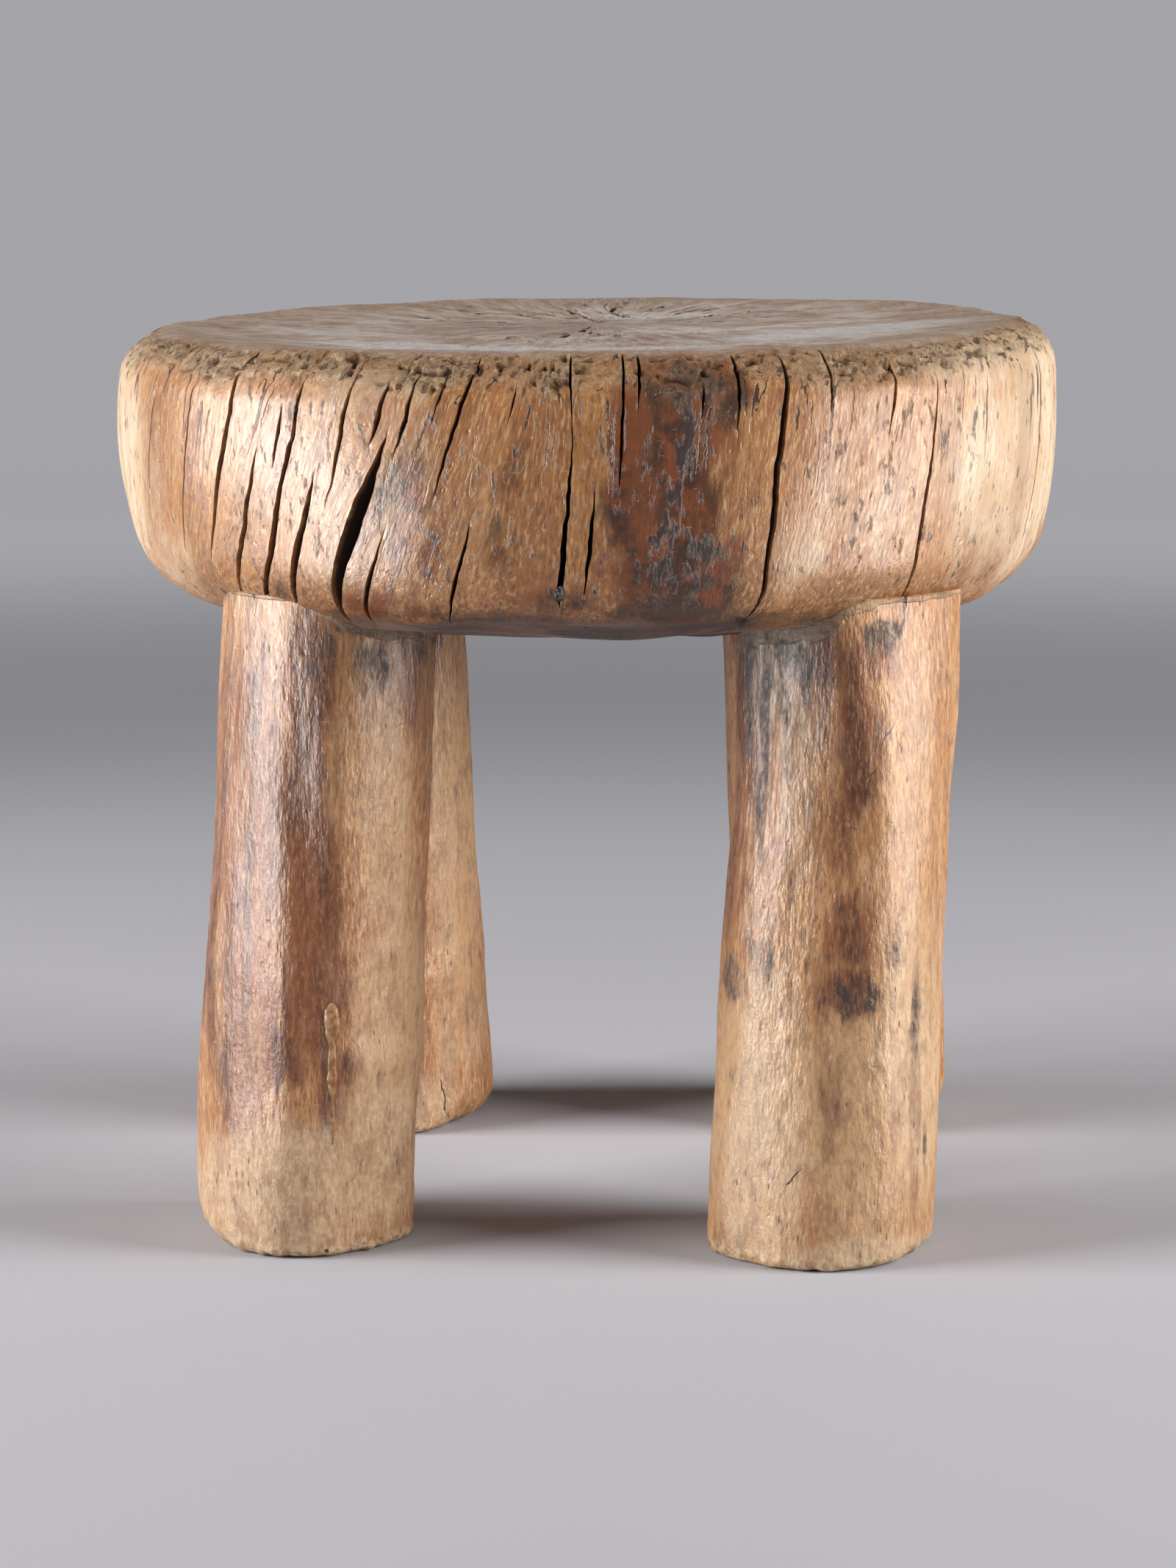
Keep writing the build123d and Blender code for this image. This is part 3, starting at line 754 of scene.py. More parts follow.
def drip_points(rows=120, columns=22):
    """Rings down the run: half an oval stands proud of the wood and the other half is sunk in it."""
    along = np.linspace(0.0, 1.0, rows)
    height = drip_high[2] - along * (drip_high[2] - drip_low[2])
    start, end = drip_high[0] - drip_inset, drip_low[0] + drip_inset
    x = start + (end - start) * along + 0.25 * ripples(placed(height, 0.0, 0.0), 9.0, 71)
    y = evened(front_of(leg_skins["front_left"][1], x, height), 6)
    wide = evened(np.interp(along, drip_stations, drip_widths), 2)
    angle = np.linspace(0.0, 2.0 * math.pi, columns, endpoint=False)
    ring = placed(np.cos(angle), 0.52 * np.sin(angle), 0.0)
    grid = placed(x, y, height)[:, None, :] + ring * wide[:, None, None]
    wrinkle = 0.12 * ripples(grid, 2.6, 72) + 0.06 * ripples(grid, 1.2, 73)
    return grid + ring * wrinkle[..., None]


drip_grid = drip_points()
first, last = drip_grid[[0, -1]].mean(axis=1)
drip = closed_skin("dried_drip_skin", drip_grid, first, last, True, {})
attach(drip, "root")
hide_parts("dried_drip")

# %% [markdown]
# ## Helpers for finishes
# A finish is a net of nodes. Placing each node by hand takes many lines, so these helpers place
# one, join what feeds it and hand back its output. Heights inside the finishes are in mm, and
# every Bump node has a distance of 1 mm, so a height of 0.2 means 0.2 mm.

# %% Helpers that place nodes
def put(kind, feeds, **settings):
    """Adds one node to net, the tree in hand. feeds maps each input to a value or another output."""
    made = net.nodes.new(kind)
    for label, value in settings.items():
        setattr(made, label, value)
    for key, value in feeds.items():
        if isinstance(value, bpy.types.NodeSocket):
            net.links.new(value, made.inputs[key])
        else:
            made.inputs[key].default_value = value
    return made


def maths(what, first, second=0.5, clamped=False):
    """The output of one Math node."""
    return put("ShaderNodeMath", {0: first, 1: second}, operation=what, use_clamp=clamped).outputs[0]


def times(first, second, plus=None):
    """The first value times the second, plus a third where there is one."""
    what, third = ("MULTIPLY", 0.5) if plus is None else ("MULTIPLY_ADD", plus)
    return put("ShaderNodeMath", {0: first, 1: second, 2: third}, operation=what).outputs[0]


def summed(base, *parts):
    """A base value with several values added, each times its own number."""
    for value, number in parts:
        base = times(value, number, base)
    return base


def vector(what, first, second=(0.0, 0.0, 0.0)):
    """The output of one Vector Math node: a number where the sum gives one, or else a vector."""
    feeds = {0: first, "Scale" if what == "SCALE" else 1: second}
    made = put("ShaderNodeVectorMath", feeds, operation=what)
    return made.outputs["Value" if what in ("DOT_PRODUCT", "DISTANCE", "LENGTH") else "Vector"]


def rise(value, low, high, start=0.0, end=1.0):
    """Eases from start to end while the value goes from low to high."""
    feeds = {"Value": value, "From Min": low, "From Max": high, "To Min": start, "To Max": end}
    return put("ShaderNodeMapRange", feeds, interpolation_type="SMOOTHSTEP").outputs[0]


def stretched(place, scale, turned=(0.0, 0.0, 0.0)):
    """The place with its axes scaled. A pattern on it is drawn out along the axis scaled least."""
    return put("ShaderNodeMapping", {"Vector": place, "Scale": scale, "Rotation": turned}).outputs[0]


def cloud(place, scale, detail=2.0, roughness=0.5, warp=0.0):
    """Soft noise from 0 to 1."""
    feeds = {"Vector": place, "Scale": scale, "Detail": detail, "Roughness": roughness}
    return put("ShaderNodeTexNoise", {**feeds, "Distortion": warp}).outputs[0]


def part_of(place, number):
    """One of the three numbers of a place."""
    return put("ShaderNodeSeparateXYZ", {0: place}).outputs[number]


def tint(share, first, second):
    """Colour between two colours, by a share from 0 to 1. A colour is linear red, green and blue."""
    first, second = (c + (1.0,) if isinstance(c, tuple) else c for c in (first, second))
    return put("ShaderNodeMix", {0: share, 6: first, 7: second}, data_type="RGBA").outputs[2]


def layers(under, *coats):
    """A colour with others laid over it in turn. A coat is a share from 0 to 1 and a colour."""
    for share, over in coats:
        under = tint(share, under, over)
    return under


def marked(name):
    """A mark that was painted on the skin, as a value."""
    return put("ShaderNodeAttribute", {}, attribute_name=name).outputs["Fac"]


# %% Helpers that start, end and use a node group
def group(name, takes):
    """Starts a group. takes gives each input's name and value: a number, a place, or None for any
    place. It returns the tree and what comes in."""
    made = bpy.data.node_groups.new(name, "ShaderNodeTree")
    for label, value in takes.items():
        kind = "NodeSocketFloat" if isinstance(value, float) else "NodeSocketVector"
        socket = made.interface.new_socket(label, in_out="INPUT", socket_type=kind)
        if value is not None:
            socket.default_value = value
    return made, made.nodes.new("NodeGroupInput").outputs


def hand_out(**values):
    """Ends the group in hand: each value becomes a named output."""
    for label in values:
        net.interface.new_socket(label, in_out="OUTPUT", socket_type="NodeSocketFloat")
    out = net.nodes.new("NodeGroupOutput").inputs
    for label, value in values.items():
        net.links.new(value, out[label])
    print("group made:", net.name)
    return net


def use(made, feeds):
    """Places a group in a finish and returns its outputs."""
    return put("ShaderNodeGroup", feeds, node_tree=made).outputs


# %% [markdown]
# ## Grain along the log
# Cut along its length, the wood shows fibres. They are noise that is drawn out along the grain:
# broad streaks for the colour, strokes a few millimetres long for the feel, short dark pores,
# and a fine grit over all. The group works on the painted place called grain, in which the lean
# has been taken out, so the fibres run with the cracks.

# %% Group: log fibres
net, given = group("Log fibres", {"Place": None, "Roughness of skin": 1.0})
place = given["Place"]
streaks = cloud(stretched(place, (1, 1, 0.08)), 95, 5, 0.62)
strokes = cloud(stretched(place, (1, 1, 0.21)), 900, 3, 0.62)
lumps = cloud(stretched(place, (1, 1, 0.3)), 270, 4, 0.6)
fine = cloud(stretched(place, (1, 1, 0.3)), 2300, 2, 0.6)
mottle = cloud(stretched(place, (1, 1, 0.45)), 42, 6, 0.6, 0.4)
grit = cloud(place, 620, 3, 0.65)
cells = put("ShaderNodeTexVoronoi", {"Vector": stretched(place, (1, 1, 0.28)), "Scale": 560.0})
chosen = rise(maths("FRACT", times(cells.outputs["Position"], 91.7)), 0.87, 0.90)
pores = times(rise(cells.outputs["Distance"], 0.26, 0.10), chosen)
height = summed(times(strokes, 0.14), (fine, 0.035), (grit, 0.13), (lumps, 0.42))
height = times(pores, -0.16, times(height, given["Roughness of skin"]))
fibres = hand_out(Streaks=streaks, Strokes=strokes, Pores=pores, Mottle=mottle, Height=height)

# %% Group: hairline splits
net, given = group("Hairline splits", {"Place": None})
place = given["Place"]
jagged = vector("ADD", place, times(cloud(place, 520, 2, 0.5), 0.0014))
gap = maths("ABSOLUTE", maths("SUBTRACT", cloud(stretched(jagged, (1, 1, 0.05)), 150, 2, 0.5), 0.5))
broken = rise(cloud(stretched(place, (1, 1, 0.3)), 110, 3, 0.6), 0.50, 0.58)
hairlines = hand_out(Mask=times(rise(gap, 0.024, 0.008), broken))

# %% [markdown]
# ## Ragged stains and small damage
# A painted mark has soft edges that no real stain has. Adding noise to it before cutting it off
# gives an edge that breaks up along the fibres. Scuffs are long thin noise in two directions,
# cut off so high that only scattered hairlines remain. A dark line is the distance to a segment
# between two points, which draws a single crack just where it is wanted.

# %% Group: ragged edge
takes = {"Mark": 0.0, "Place": None, "Scale": 120.0, "Amount": 0.8, "Softness": 0.2}
net, given = group("Ragged edge", takes)
crumble = cloud(stretched(given["Place"], (1, 1, 0.35)), given["Scale"], 6, 0.65)
level = times(maths("SUBTRACT", crumble, 0.5), given["Amount"], given["Mark"])
low, high = (maths(what, 0.45, given["Softness"]) for what in ("SUBTRACT", "ADD"))
ragged = hand_out(Mask=rise(level, low, high))


def frayed(mark, place, scale, amount, softness):
    """The mask of a mark whose edge is broken up by noise of a scale and an amount."""
    feeds = {"Mark": mark, "Place": place, "Scale": scale, "Amount": amount, "Softness": softness}
    return use(ragged, feeds)[0]


# %% Group: scuffs
net, given = group("Scuffs", {"Place": None})
place = given["Place"]
one_way = cloud(stretched(place, (0.09, 1.0, 1.0), (0.4, 0.75, 0.3)), 900, 1, 0.5)
other_way = cloud(stretched(place, (1.0, 1.0, 0.07), (0.55, -0.6, 0.2)), 760, 1, 0.5)
scratches = maths("MAXIMUM", rise(one_way, 0.70, 0.76), rise(other_way, 0.71, 0.77))
scratches = times(scratches, rise(cloud(place, 34, 3, 0.6), 0.48, 0.66))
dents = rise(cloud(place, 210, 2, 0.5), 0.66, 0.8)
scuffs = hand_out(Lines=scratches, Height=times(scratches, -0.05, times(dents, -0.18)))


# %% Group: dark line
def drift(place, scale, reach):
    """A small push in a direction that changes softly from place to place."""
    noise = put("ShaderNodeTexNoise", {"Vector": place, "Scale": scale, "Detail": 3.0}).outputs[1]
    return vector("SCALE", vector("SUBTRACT", noise, (0.5, 0.5, 0.5)), reach)


takes = {"Place": None, "From": None, "To": None, "Half width": 0.0004, "Plane": (1.0, 1.0, 0.0)}
net, given = group("Dark line", takes)
here = vector("ADD", given["Place"], drift(given["Place"], 240.0, 0.0035))
reach = vector("MULTIPLY", vector("SUBTRACT", here, given["From"]), given["Plane"])
span = vector("MULTIPLY", vector("SUBTRACT", given["To"], given["From"]), given["Plane"])
length = vector("DOT_PRODUCT", span, span)
along = maths("DIVIDE", vector("DOT_PRODUCT", reach, span), length, clamped=True)
gap = vector("DISTANCE", reach, vector("SCALE", span, along))
taper = times(rise(along, 0.0, 0.25), rise(along, 1.0, 0.6))
edge = times(given["Half width"], times(taper, 0.9, 0.1))
dark_line = hand_out(Mask=rise(maths("DIVIDE", gap, edge), 1.25, 0.75))


def drawn(place, start, end, half):
    """The mask of one dark line as seen from the front. Its ends and half its width are in mm."""
    feeds = {"Place": place, "From": [v * MM for v in start], "To": [v * MM for v in end]}
    return use(dark_line, {**feeds, "Half width": half * MM, "Plane": (1.0, 0.0, 1.0)})[0]


# %% [markdown]
# ## End grain
# Across the log the same fibres show their ends: rays run out from the pith, faint rings go
# round it, and the floor of the dish is rubbed smooth. Directions from the pith feed the rays,
# so they never break at a seam, and the distance from it feeds the rings.

# %% Group: end grain
net, given = group("End grain", {"Place": None, "Pith": (pith[0] * MM, pith[1] * MM, 0.0)})
aside = stretched(vector("SUBTRACT", given["Place"], given["Pith"]), (1, 1, 0))
aside = vector("ADD", aside, stretched(drift(given["Place"], 26.0, 0.018), (1, 1, 0)))
far = vector("LENGTH", aside)
direction = vector("NORMALIZE", aside)


def by_direction(stretch, scale, detail, roughness):
    """Noise that changes with the direction from the pith and, slowly, with the distance from it."""
    out = put("ShaderNodeCombineXYZ", {"Z": times(far, stretch)}).outputs[0]
    return cloud(vector("ADD", direction, out), scale, detail, roughness)


rays = by_direction(5.0, 9.0, 6, 0.74)
threads = by_direction(1.4, 60.0, 4, 0.7)
rings = by_direction(240.0, 1.6, 4, 0.6)
splits = maths("ABSOLUTE", maths("SUBTRACT", by_direction(2.4, 10.0, 2, 0.5), 0.5))
nearness = rise(far, 0.100, 0.020)
splits = rise(splits, times(nearness, 0.022, 0.003), times(nearness, 0.010))
splits = times(splits, rise(cloud(given["Place"], 130, 3, 0.6), 0.50, 0.54))
specks = cloud(given["Place"], 900, 3, 0.6)
level = times(rays, 0.6, times(rings, 0.10))
level = summed(level, (threads, 0.14), (specks, 0.05), (splits, -0.6))
end_grain = hand_out(Rays=rays, Threads=threads, Rings=rings, Checks=splits, Height=level)

# %% [markdown]
# ## Finish of the seat
# The seat's finish is built in layers, as the surface itself was: bare wood first, then paler
# worn places, then stains and crust, then the crumbled rim with painted light and shade on its
# crumbs, the polished dish with painted sheen, the underside darkened as painted shade, and last
# painted shade inside the cracks with painted highlights on their lips. Each layer is a mask
# and a colour, and takes part in the roughness and the height too.


# %% Helpers for a finish
def finish(name):
    """A new material, its tree, its Principled node and the place on the object."""
    made = bpy.data.materials.new(name)
    made.use_nodes = True
    tree = made.node_tree
    own_place = tree.nodes.new("ShaderNodeTexCoord").outputs["Object"]
    return made, tree, tree.nodes["Principled BSDF"], own_place


def join(skin, colour, shine, relief):
    """Joins a colour, a roughness and a height in mm to a Principled node."""
    bump = put("ShaderNodeBump", {"Strength": 1.0, "Distance": MM, "Height": relief})
    net.links.new(colour, skin.inputs["Base Color"])
    net.links.new(shine, skin.inputs["Roughness"])
    net.links.new(bump.outputs[0], skin.inputs["Normal"])
    print("finish made of", len(net.nodes), "nodes")


def grain_here():
    """The painted place along the log's grain."""
    return put("ShaderNodeAttribute", {}, attribute_name="grain").outputs["Vector"]


def grazing():
    """Nears 1 where the skin is seen edge-on. Rougher there, it mirrors no lamp as a white outline."""
    return rise(put("ShaderNodeLayerWeight", {"Blend": 0.5}).outputs["Facing"], 0.62, 0.90)


# %% Seat wood
seat_finish, net, skin, here = finish("seat_wood")
grain_place = grain_here()
wood = use(fibres, {"Place": grain_place, "Roughness of skin": 0.8})
worn_lines = use(scuffs, {"Place": here})
top_wood = use(end_grain, {"Place": here})
broad = cloud(stretched(grain_place, (1, 1, 0.5)), 17, 3, 0.55)
honey = layers(
    tint(rise(wood["Streaks"], 0.34, 0.66), (0.30, 0.116, 0.038), (0.52, 0.246, 0.088)),
    (rise(broad, 0.48, 0.64, 0.0, 0.75), (0.255, 0.128, 0.052)),
    (rise(wood["Mottle"], 0.44, 0.66, 0.0, 0.8), (0.40, 0.168, 0.058)),
    (rise(wood["Strokes"], 0.54, 0.61, 0.0, 0.75), (0.60, 0.365, 0.175)),
    (rise(wood["Strokes"], 0.46, 0.36, 0.0, 0.6), (0.13, 0.052, 0.020)),
)
bleach = frayed(marked("pale"), grain_place, 60.0, 1.4, 0.45)
bleached = layers(
    tint(rise(wood["Streaks"], 0.40, 0.62), (0.56, 0.390, 0.245), (0.72, 0.550, 0.385)),
    (rise(wood["Strokes"], 0.48, 0.36, 0.0, 0.45), (0.38, 0.22, 0.12)),
    (rise(cloud(grain_place, 38, 5, 0.6, 0.3), 0.52, 0.64, 0.0, 0.4), (0.54, 0.31, 0.14)),
)
rusty = frayed(marked("rust"), grain_place, 120.0, 2.2, 0.35)
stained = frayed(marked("stain"), grain_place, 90.0, 2.0, 0.28)
deep = tint(rise(cloud(here, 85, 5, 0.65), 0.44, 0.58), (0.042, 0.014, 0.007), (0.180, 0.044, 0.010))
crusty = frayed(times(marked("crust"), 0.9), here, 340.0, 3.6, 0.2)
colour = layers(
    honey,
    (times(bleach, 0.92), bleached),
    (times(stained, 0.93), deep),
    (times(rusty, 0.5), (0.30, 0.088, 0.022)),
    (times(wood["Pores"], 0.6), (0.11, 0.046, 0.022)),
    (times(worn_lines["Lines"], 0.3), (0.72, 0.54, 0.38)),
    (times(crusty, 0.9), (0.030, 0.020, 0.017)),
)

# %% Seat wood: crumbled rim
rim = marked("rim")
crumbly = cloud(stretched(grain_place, (1, 1, 0.8)), 460, 6, 0.78, 0.4)
chips = cloud(stretched(grain_place, (1, 1, 0.7)), 560, 4, 0.62, 0.6)
patches = cloud(grain_place, 48, 3, 0.6)
worst = rise(times(patches, 0.8, rim), 0.75, 1.35)
pit_edge = times(worst, 0.11, 0.26)
small_pits = rise(chips, maths("ADD", pit_edge, 0.04), maths("SUBTRACT", pit_edge, 0.03))
pit_jag = times(cloud(grain_place, 640, 3, 0.65), 0.0040)
pit_place = vector("ADD", stretched(grain_place, (1, 1, 0.7)), pit_jag)
pit_cells = put("ShaderNodeTexVoronoi", {"Vector": pit_place, "Scale": 380.0})
lot = maths("FRACT", times(pit_cells.outputs["Position"], 613.7))
picked = rise(times(worst, 0.40, lot), 0.93, 0.98)
big_pits = times(rise(pit_cells.outputs["Distance"], 0.44, 0.32), picked)
pits = maths("MAXIMUM", times(small_pits, 0.6), big_pits)
pits = times(pits, rise(rim, 0.15, 0.6))
# The rim's colour follows the crumbly noise that also raises its relief: lighter on the raised crumbs, as
# painted highlight, and darker between them, as painted shade.
rim_colour = layers(
    tint(rise(crumbly, 0.34, 0.66), (0.145, 0.082, 0.040), (0.50, 0.34, 0.19)),
    (rise(patches, 0.46, 0.62, 0.0, 0.75), (0.20, 0.118, 0.062)),
    (rise(wood["Mottle"], 0.5, 0.66, 0.0, 0.6), (0.36, 0.175, 0.080)),
    (times(bleach, 0.75), (0.56, 0.41, 0.26)),
)
rim_share = times(rim, maths("SUBTRACT", 1.0, times(stained, 0.6)))
split_share = times(use(hairlines, {"Place": grain_place})[0], times(marked("edge"), 0.85, 0.15))
colour = layers(
    colour,
    (times(rim_share, 0.85), rim_colour),
    # Painted highlights on the highest crumbs, then painted shade in the pits.
    (times(rise(crumbly, 0.56, 0.66, 0.0, 0.6), rim_share), (0.62, 0.46, 0.28)),
    (times(pits, 0.75), (0.062, 0.033, 0.019)),
    (split_share, (0.060, 0.026, 0.014)),
)

# %% Seat wood: dish
dull = frayed(marked("stain"), here, 60.0, 2.2, 0.35)
sheen_patches = frayed(marked("pale"), stretched(here, (0.35, 1, 1)), 60.0, 1.8, 0.45)
crest = marked("crest")
crest_colour = tint(rise(crumbly, 0.36, 0.64), (0.19, 0.112, 0.066), (0.40, 0.275, 0.185))
# The pale patches are painted sheen, and the pale grey of the light rays and threads stands partly for the
# top's sheen as well.
across_grain = layers(
    tint(rise(top_wood["Rays"], 0.40, 0.60), (0.27, 0.168, 0.108), (0.47, 0.385, 0.32)),
    (times(dull, 0.7), (0.235, 0.140, 0.088)),
    (times(sheen_patches, 0.7), (0.64, 0.59, 0.55)),
    (rise(top_wood["Threads"], 0.50, 0.38, 0.0, 0.6), (0.19, 0.100, 0.056)),
    (rise(top_wood["Threads"], 0.52, 0.62, 0.0, 0.35), (0.66, 0.59, 0.53)),
    (rise(top_wood["Rings"], 0.55, 0.42, 0.0, 0.25), (0.30, 0.19, 0.125)),
    (top_wood["Checks"], (0.045, 0.020, 0.011)),
    (times(crest, 0.7), crest_colour),
)
top = marked("top")

# %% Seat wood: painted shade on the underside, in the cracks and in the hole, dirt, and lip highlights
# The underside is painted dark, with streaks along it: painted shade where the seat's belly faces the
# floor.
underside_streaks = cloud(stretched(here, (0.25, 0.6, 1)), 75, 6, 0.66)
underside_shade = layers(
    tint(rise(underside_streaks, 0.45, 0.56), (0.042, 0.018, 0.014), (0.190, 0.100, 0.074)),
    (rise(cloud(here, 30, 5, 0.6), 0.48, 0.68, 0.0, 0.5), (0.19, 0.075, 0.034)),
)
dirty = frayed(marked("grime"), here, 110.0, 2.0, 0.3)
split = marked("crack")
# The small hole under the front edge is a shallow dent in the relief, painted near black as the shade
# inside it.
hole = drawn(here, (48.5, 0.0, 222.5), (53.5, 0.0, 223.5), 2.1)
hole = times(hole, rise(part_of(here, 1), -0.10, -0.11))
colour = layers(
    colour,
    (top, across_grain),
    (marked("under"), underside_shade),
    (times(dirty, 0.65), (0.075, 0.042, 0.028)),
    # Painted highlight on the cracks' lips, then painted shade inside the cracks, the checks and the hole.
    (rise(split, -0.1, -0.6, 0.0, 0.14), (0.66, 0.45, 0.29)),
    (rise(split, 0.06, 0.45), (0.030, 0.014, 0.008)),
    (hole, (0.022, 0.011, 0.007)),
)

# %% Seat wood: shine and relief
shine = summed(
    rise(wood["Strokes"], 0.3, 0.7, 0.36, 0.25), (rise(wood["Mottle"], 0.5, 0.66), 0.10), (stained, -0.07),
    (crusty, 0.16), (rim_share, 0.30), (dirty, 0.12), (wood["Pores"], 0.35), (grazing(), 0.6),
)
dish_shine = summed(rise(top_wood["Rays"], 0.40, 0.60, 0.62, 0.46), (sheen_patches, -0.24), (crest, 0.12))
shine = put("ShaderNodeMix", {0: top, 2: shine, 3: dish_shine}).outputs[0]
shine = maths("MAXIMUM", shine, rise(split, 0.06, 0.45, 0.0, 0.95))
shine = maths("MAXIMUM", shine, times(pits, 0.9))
relief = summed(
    maths("ADD", wood["Height"], worn_lines["Height"]), (split_share, -0.35),
    (times(cloud(here, 340, 3, 0.5), crusty), 0.2), (times(crumbly, rim_share), 0.9), (pits, -0.7),
)
relief = put("ShaderNodeMix", {0: top, 2: relief, 3: top_wood["Height"]}).outputs[0]
join(skin, colour, shine, times(hole, -0.8, relief))
skin.inputs["IOR"].default_value = 1.55
seat.data.materials.append(seat_finish)

# %% [markdown]
# ## Finish of the legs
# The legs show the same wood along its grain, redder and more polished. Stain, soot and dust
# are their painted marks, and the rough band under the seat, where the adze stopped, shows torn
# fibres.

# %% Leg wood
leg_finish, net, skin, here = finish("leg_wood")
grain_place = grain_here()
wood = use(fibres, {"Place": grain_place, "Roughness of skin": 1.2})
worn_lines = use(scuffs, {"Place": here})
broad = cloud(stretched(grain_place, (1, 1, 0.5)), 20, 3, 0.55)
golden = frayed(marked("pale"), stretched(grain_place, (1, 1, 0.5)), 50.0, 2.0, 0.5)
speckle = cloud(stretched(grain_place, (1, 1, 0.45)), 620, 5, 0.72)
blotchy = cloud(stretched(here, (1, 1, 0.6)), 150, 6, 0.7, 0.3)
amber = layers(
    tint(rise(wood["Streaks"], 0.34, 0.66), (0.34, 0.135, 0.046), (0.54, 0.265, 0.102)),
    (rise(broad, 0.50, 0.66, 0.0, 0.7), (0.32, 0.168, 0.074)),
    (rise(wood["Mottle"], 0.46, 0.68, 0.0, 0.8), (0.43, 0.180, 0.062)),
    (rise(wood["Strokes"], 0.52, 0.62, 0.0, 0.65), (0.60, 0.375, 0.19)),
    (rise(wood["Strokes"], 0.47, 0.36, 0.0, 0.7), (0.15, 0.060, 0.026)),
    (times(golden, 0.65), (0.60, 0.385, 0.205)),
    (rise(speckle, 0.50, 0.40, 0.0, 0.35), (0.20, 0.088, 0.036)),
    (rise(blotchy, 0.52, 0.64, 0.0, 0.55), (0.25, 0.135, 0.072)),
)
broken = rise(speckle, 0.42, 0.56)
stained = frayed(marked("stain"), stretched(grain_place, (1, 1, 0.4)), 110.0, 2.6, 0.34)
stained = times(stained, times(broken, 0.3, 0.7))
russet = layers(
    tint(rise(wood["Streaks"], 0.40, 0.62), (0.070, 0.019, 0.008), (0.205, 0.060, 0.019)),
    (rise(wood["Strokes"], 0.52, 0.60, 0.0, 0.45), (0.36, 0.155, 0.062)),
)

# %% Leg wood: dust, soot and torn fibres
dusty = frayed(marked("dust"), here, 52.0, 2.4, 0.42)
dust_grain = times(wood["Strokes"], 0.2, times(cloud(here, 420, 4, 0.7), 0.8))
dust_colour = layers(
    tint(rise(dust_grain, 0.38, 0.62), (0.46, 0.300, 0.175), (0.63, 0.455, 0.290)),
    (rise(blotchy, 0.50, 0.60, 0.0, 0.6), (0.30, 0.165, 0.085)),
)
foot_edge = times(rise(part_of(here, 2), 0.007, 0.002), rise(cloud(here, 360, 4, 0.7), 0.46, 0.54))
sooty = frayed(times(marked("soot"), 0.75), here, 190.0, 3.0, 0.3)
sooty = times(sooty, times(broken, 0.55, 0.4))
torn = cloud(stretched(here, (0.35, 0.5, 1)), 420, 5, 0.68, 0.3)
cut = frayed(marked("cut"), grain_place, 300.0, 0.9, 0.3)
cut_colour = tint(rise(torn, 0.40, 0.60), (0.110, 0.062, 0.034), (0.38, 0.25, 0.140))
colour = layers(
    amber,
    (times(stained, 0.95), russet),
    (times(dusty, 0.68), dust_colour),
    (times(foot_edge, 0.8), (0.60, 0.45, 0.27)),
    (times(sooty, 0.95), (0.030, 0.018, 0.014)),
    (times(wood["Pores"], 0.6), (0.11, 0.046, 0.024)),
    (times(worn_lines["Lines"], 0.3), (0.74, 0.56, 0.40)),
    (times(cut, 0.75), cut_colour),
)

# %% Single cracks, nicks and scratches on the legs
leg_lines = (
    ((-94.6, -113, 233), (-94.2, -114, 217), 0.6), ((-114.2, -108, 234), (-113.6, -108, 224), 0.45),
    ((107.6, -112, 232), (106.4, -115, 222), 0.6), ((106.4, -115, 222), (106.0, -116, 215), 0.35),
    ((67, -146, 28), (73, -146, 36), 0.3), ((98, -118, 178), (104, -116, 186), 0.2),
    ((94, -122, 166), (98, -118, 172), 0.25), ((-57, 62, 22), (-54, 60, 4), 0.3),
    ((-91, -126, 2.5), (-89, -127, 2.2), 0.7),
)
line_mask = drawn(here, *leg_lines[0])
for line in leg_lines[1:]:
    line_mask = maths("MAXIMUM", line_mask, drawn(here, *line))
deep_in = part_of(here, 1)
on_front_faces = maths("MAXIMUM", rise(deep_in, -0.10, -0.105), rise(deep_in, 0.04, 0.045))
line_mask = times(line_mask, on_front_faces)
colour = tint(line_mask, colour, (0.050, 0.022, 0.012))

# %% Leg wood: shine and relief
shine = summed(
    rise(wood["Strokes"], 0.3, 0.7, 0.40, 0.29), (dusty, 0.32), (cut, 0.22), (sooty, 0.25),
    (wood["Pores"], 0.35), (grazing(), 0.6),
)
dents = cloud(stretched(grain_place, (1, 1, 0.4)), 380, 3, 0.6)
dust_bumps = times(cloud(here, 640, 3, 0.7), dusty)
relief = summed(
    maths("ADD", wood["Height"], worn_lines["Height"]), (dents, times(dusty, -0.3, 0.45)),
    (dust_bumps, 0.18), (times(torn, cut), 0.5), (line_mask, -0.7),
)
join(skin, colour, shine, relief)
skin.inputs["IOR"].default_value = 1.55
for piece, grid in leg_skins.values():
    piece.data.materials.append(leg_finish)

# %% [markdown]
# ## Finishes of the small pieces
# Pitch is nearly black and glints where it broke. The drip is amber putty with darker patches,
# and smoother than the wood.

# %% Pitch and putty
plug_finish, net, skin, here = finish("pitch")
lumpy = cloud(here, 700, 4, 0.7)
colour = tint(rise(lumpy, 0.4, 0.65), (0.010, 0.008, 0.007), (0.045, 0.034, 0.028))
join(skin, colour, rise(lumpy, 0.4, 0.6, 0.4, 0.65), times(lumpy, 0.3))
plug.data.materials.append(plug_finish)

drip_finish, net, skin, here = finish("dried_drip")
chalk = cloud(here, 420, 4, 0.6)
colour = tint(rise(chalk, 0.36, 0.64), (0.25, 0.105, 0.034), (0.50, 0.275, 0.125))
join(skin, colour, rise(chalk, 0.35, 0.65, 0.34, 0.2), times(chalk, 0.12))
drip.data.materials.append(drip_finish)

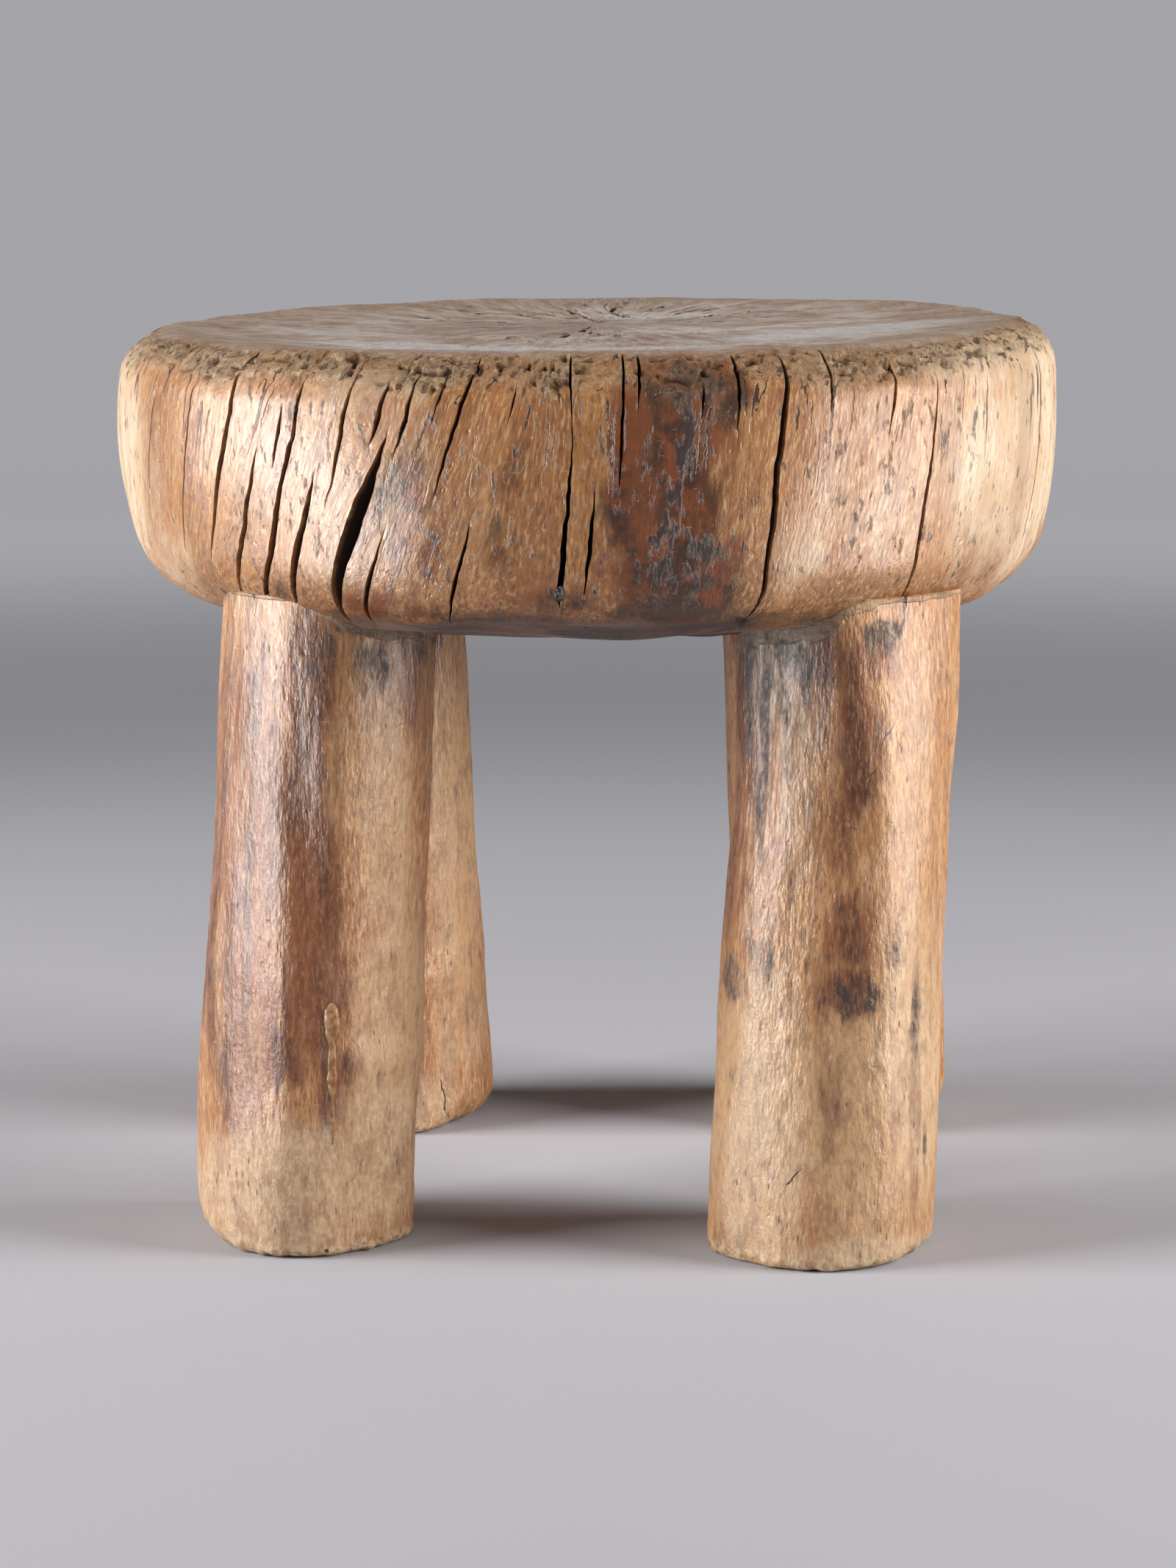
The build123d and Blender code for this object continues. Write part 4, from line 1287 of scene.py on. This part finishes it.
# %% [markdown]
# ## Floor, lamps and camera
# The stool stands on a plain pale floor that curves up into a wall all round, so that every
# view has the same quiet background. With distance its paper gets darker and glows a little
# instead, only where it is looked at or mirrored, so the far side is as pale as the near one.

# %% Floor and wall in one sweep
def sweep_rows():
    """Radius and height of the sweep: flat floor, a quarter circle, then an upright wall."""
    floor = np.stack([np.linspace(0.05, 2.6, 40), np.full(40, -0.0004)], axis=-1)
    turn = np.linspace(0.0, math.pi / 2.0, 24)[1:]
    bend = np.stack([2.6 + 0.9 * np.sin(turn), 0.9 - 0.9 * np.cos(turn)], axis=-1)
    wall = np.stack([np.full(12, 3.5), np.linspace(1.0, 4.0, 12)], axis=-1)
    return np.concatenate([floor, bend, wall])


radius, rising = sweep_rows().T[..., None]
angle = np.linspace(0.0, 2.0 * math.pi, 96, endpoint=False)
sweep_grid = placed(radius * np.cos(angle), radius * np.sin(angle), rising) / MM
room = closed_skin("studio_sweep", sweep_grid, (0.0, 0.0, -0.4), (0.0, 0.0, 0.0), True, {}, closed=False)
room_finish, net, skin, here = finish("studio_paper")
far = vector("LENGTH", stretched(here, (1, 1, 0)))
paper = tint(rise(far, 0.55, 1.8), (0.49, 0.48, 0.51), (0.12, 0.12, 0.125))
path = put("ShaderNodeLightPath", {}).outputs
seen = maths("MAXIMUM", path["Is Camera Ray"], path["Is Glossy Ray"])
glow = tint(rise(far, 0.9, 2.3), (0.06, 0.06, 0.066), (0.350, 0.350, 0.372))
net.links.new(paper, skin.inputs["Base Color"])
net.links.new(tint(seen, (0.0, 0.0, 0.0), glow), skin.inputs["Emission Color"])
net.links.new(rise(far, 0.45, 1.4), skin.inputs["Emission Strength"])
skin.inputs["Roughness"].default_value = 0.9
skin.inputs["Specular IOR Level"].default_value = 0.0
room.data.materials.append(room_finish)

# %% [markdown]
# Two large soft lamps stand left and right. They light both flanks and throw the legs' shadows
# sideways, but aren't mirrored. The long sheens on the wood come from four small lamps close by,
# which light nothing and show only in the gloss: the low pair in the legs, and the high pair in
# the seat and the legs' tops. Two weak lamps fill the front and the back.


# %% Lamps
def lamp(name, place, target, size, power, mirrored=True, lighting=True):
    """A soft rectangular lamp that faces a point. place and target are in metres, power in watts.
    mirrored says whether it shows in polished wood, and lighting whether it lights the scene."""
    data = bpy.data.lights.new(name, "AREA")
    data.shape = "RECTANGLE"
    data.size, data.size_y = size
    data.energy = power
    data.spread = math.radians(110.0) if lighting else math.pi
    data.color = (1.0, 1.0, 1.0) if lighting else (0.86, 0.95, 1.0)
    made = bpy.data.objects.new(name, data)
    made.location = place
    facing = (np.array(target) - np.array(place)).tolist()
    made.rotation_euler = Vector(facing).to_track_quat("-Z", "Y").to_euler()
    made.visible_camera = False
    made.visible_glossy = mirrored
    made.visible_diffuse = lighting
    bpy.context.scene.collection.objects.link(made)


lamp("soft_left", (-2.2, -0.55, 0.95), (0.0, 0.0, 0.16), (1.3, 1.3), 32.0, mirrored=False)
lamp("soft_right", (2.2, -0.55, 0.95), (0.0, 0.0, 0.16), (1.3, 1.3), 31.0, mirrored=False)
lamp("sheen_left_low", (-0.46, -0.28, 0.11), (-0.04, -0.10, 0.11), (0.28, 0.25), 3.0, lighting=False)
lamp("sheen_left_high", (-0.48, -0.16, 0.27), (-0.10, -0.10, 0.27), (0.30, 0.16), 1.9, lighting=False)
lamp("sheen_right_low", (0.50, -0.25, 0.09), (0.03, -0.10, 0.09), (0.31, 0.20), 1.85, lighting=False)
lamp("sheen_right_high", (0.50, -0.20, 0.27), (0.05, -0.09, 0.27), (0.32, 0.17), 1.55, lighting=False)
lamp("fill_front", (0.0, -2.2, 1.9), (0.0, 0.0, 0.15), (1.4, 1.0), 1.5, mirrored=False)
lamp("fill_back", (0.0, 2.2, 1.9), (0.0, 0.0, 0.15), (2.0, 1.0), 2.0)
world = bpy.data.worlds.new("studio_air")
world.use_nodes = True
world.node_tree.nodes["Background"].inputs["Color"].default_value = (0.42, 0.42, 0.44, 1.0)
world.node_tree.nodes["Background"].inputs["Strength"].default_value = 0.08
bpy.context.scene.world = world

# %% [markdown]
# The camera stands 1.65 m in front of the seat's middle, a little above it, and looks nine
# degrees down through a long lens, which is how the photograph was taken.

# %% Camera
camera_data = bpy.data.cameras.new("camera")
camera_data.sensor_fit = "VERTICAL"
camera_data.sensor_width = 36.0
camera_data.sensor_height = 36.0
camera_data.lens = 104.76
camera = bpy.data.objects.new("camera", camera_data)
camera.location = (0.0, -1.65, 0.4125)
camera.rotation_euler = (math.radians(80.8), 0.0, 0.0)
bpy.context.scene.collection.objects.link(camera)
bpy.context.scene.camera = camera
bpy.context.scene.view_settings.view_transform = "Standard"
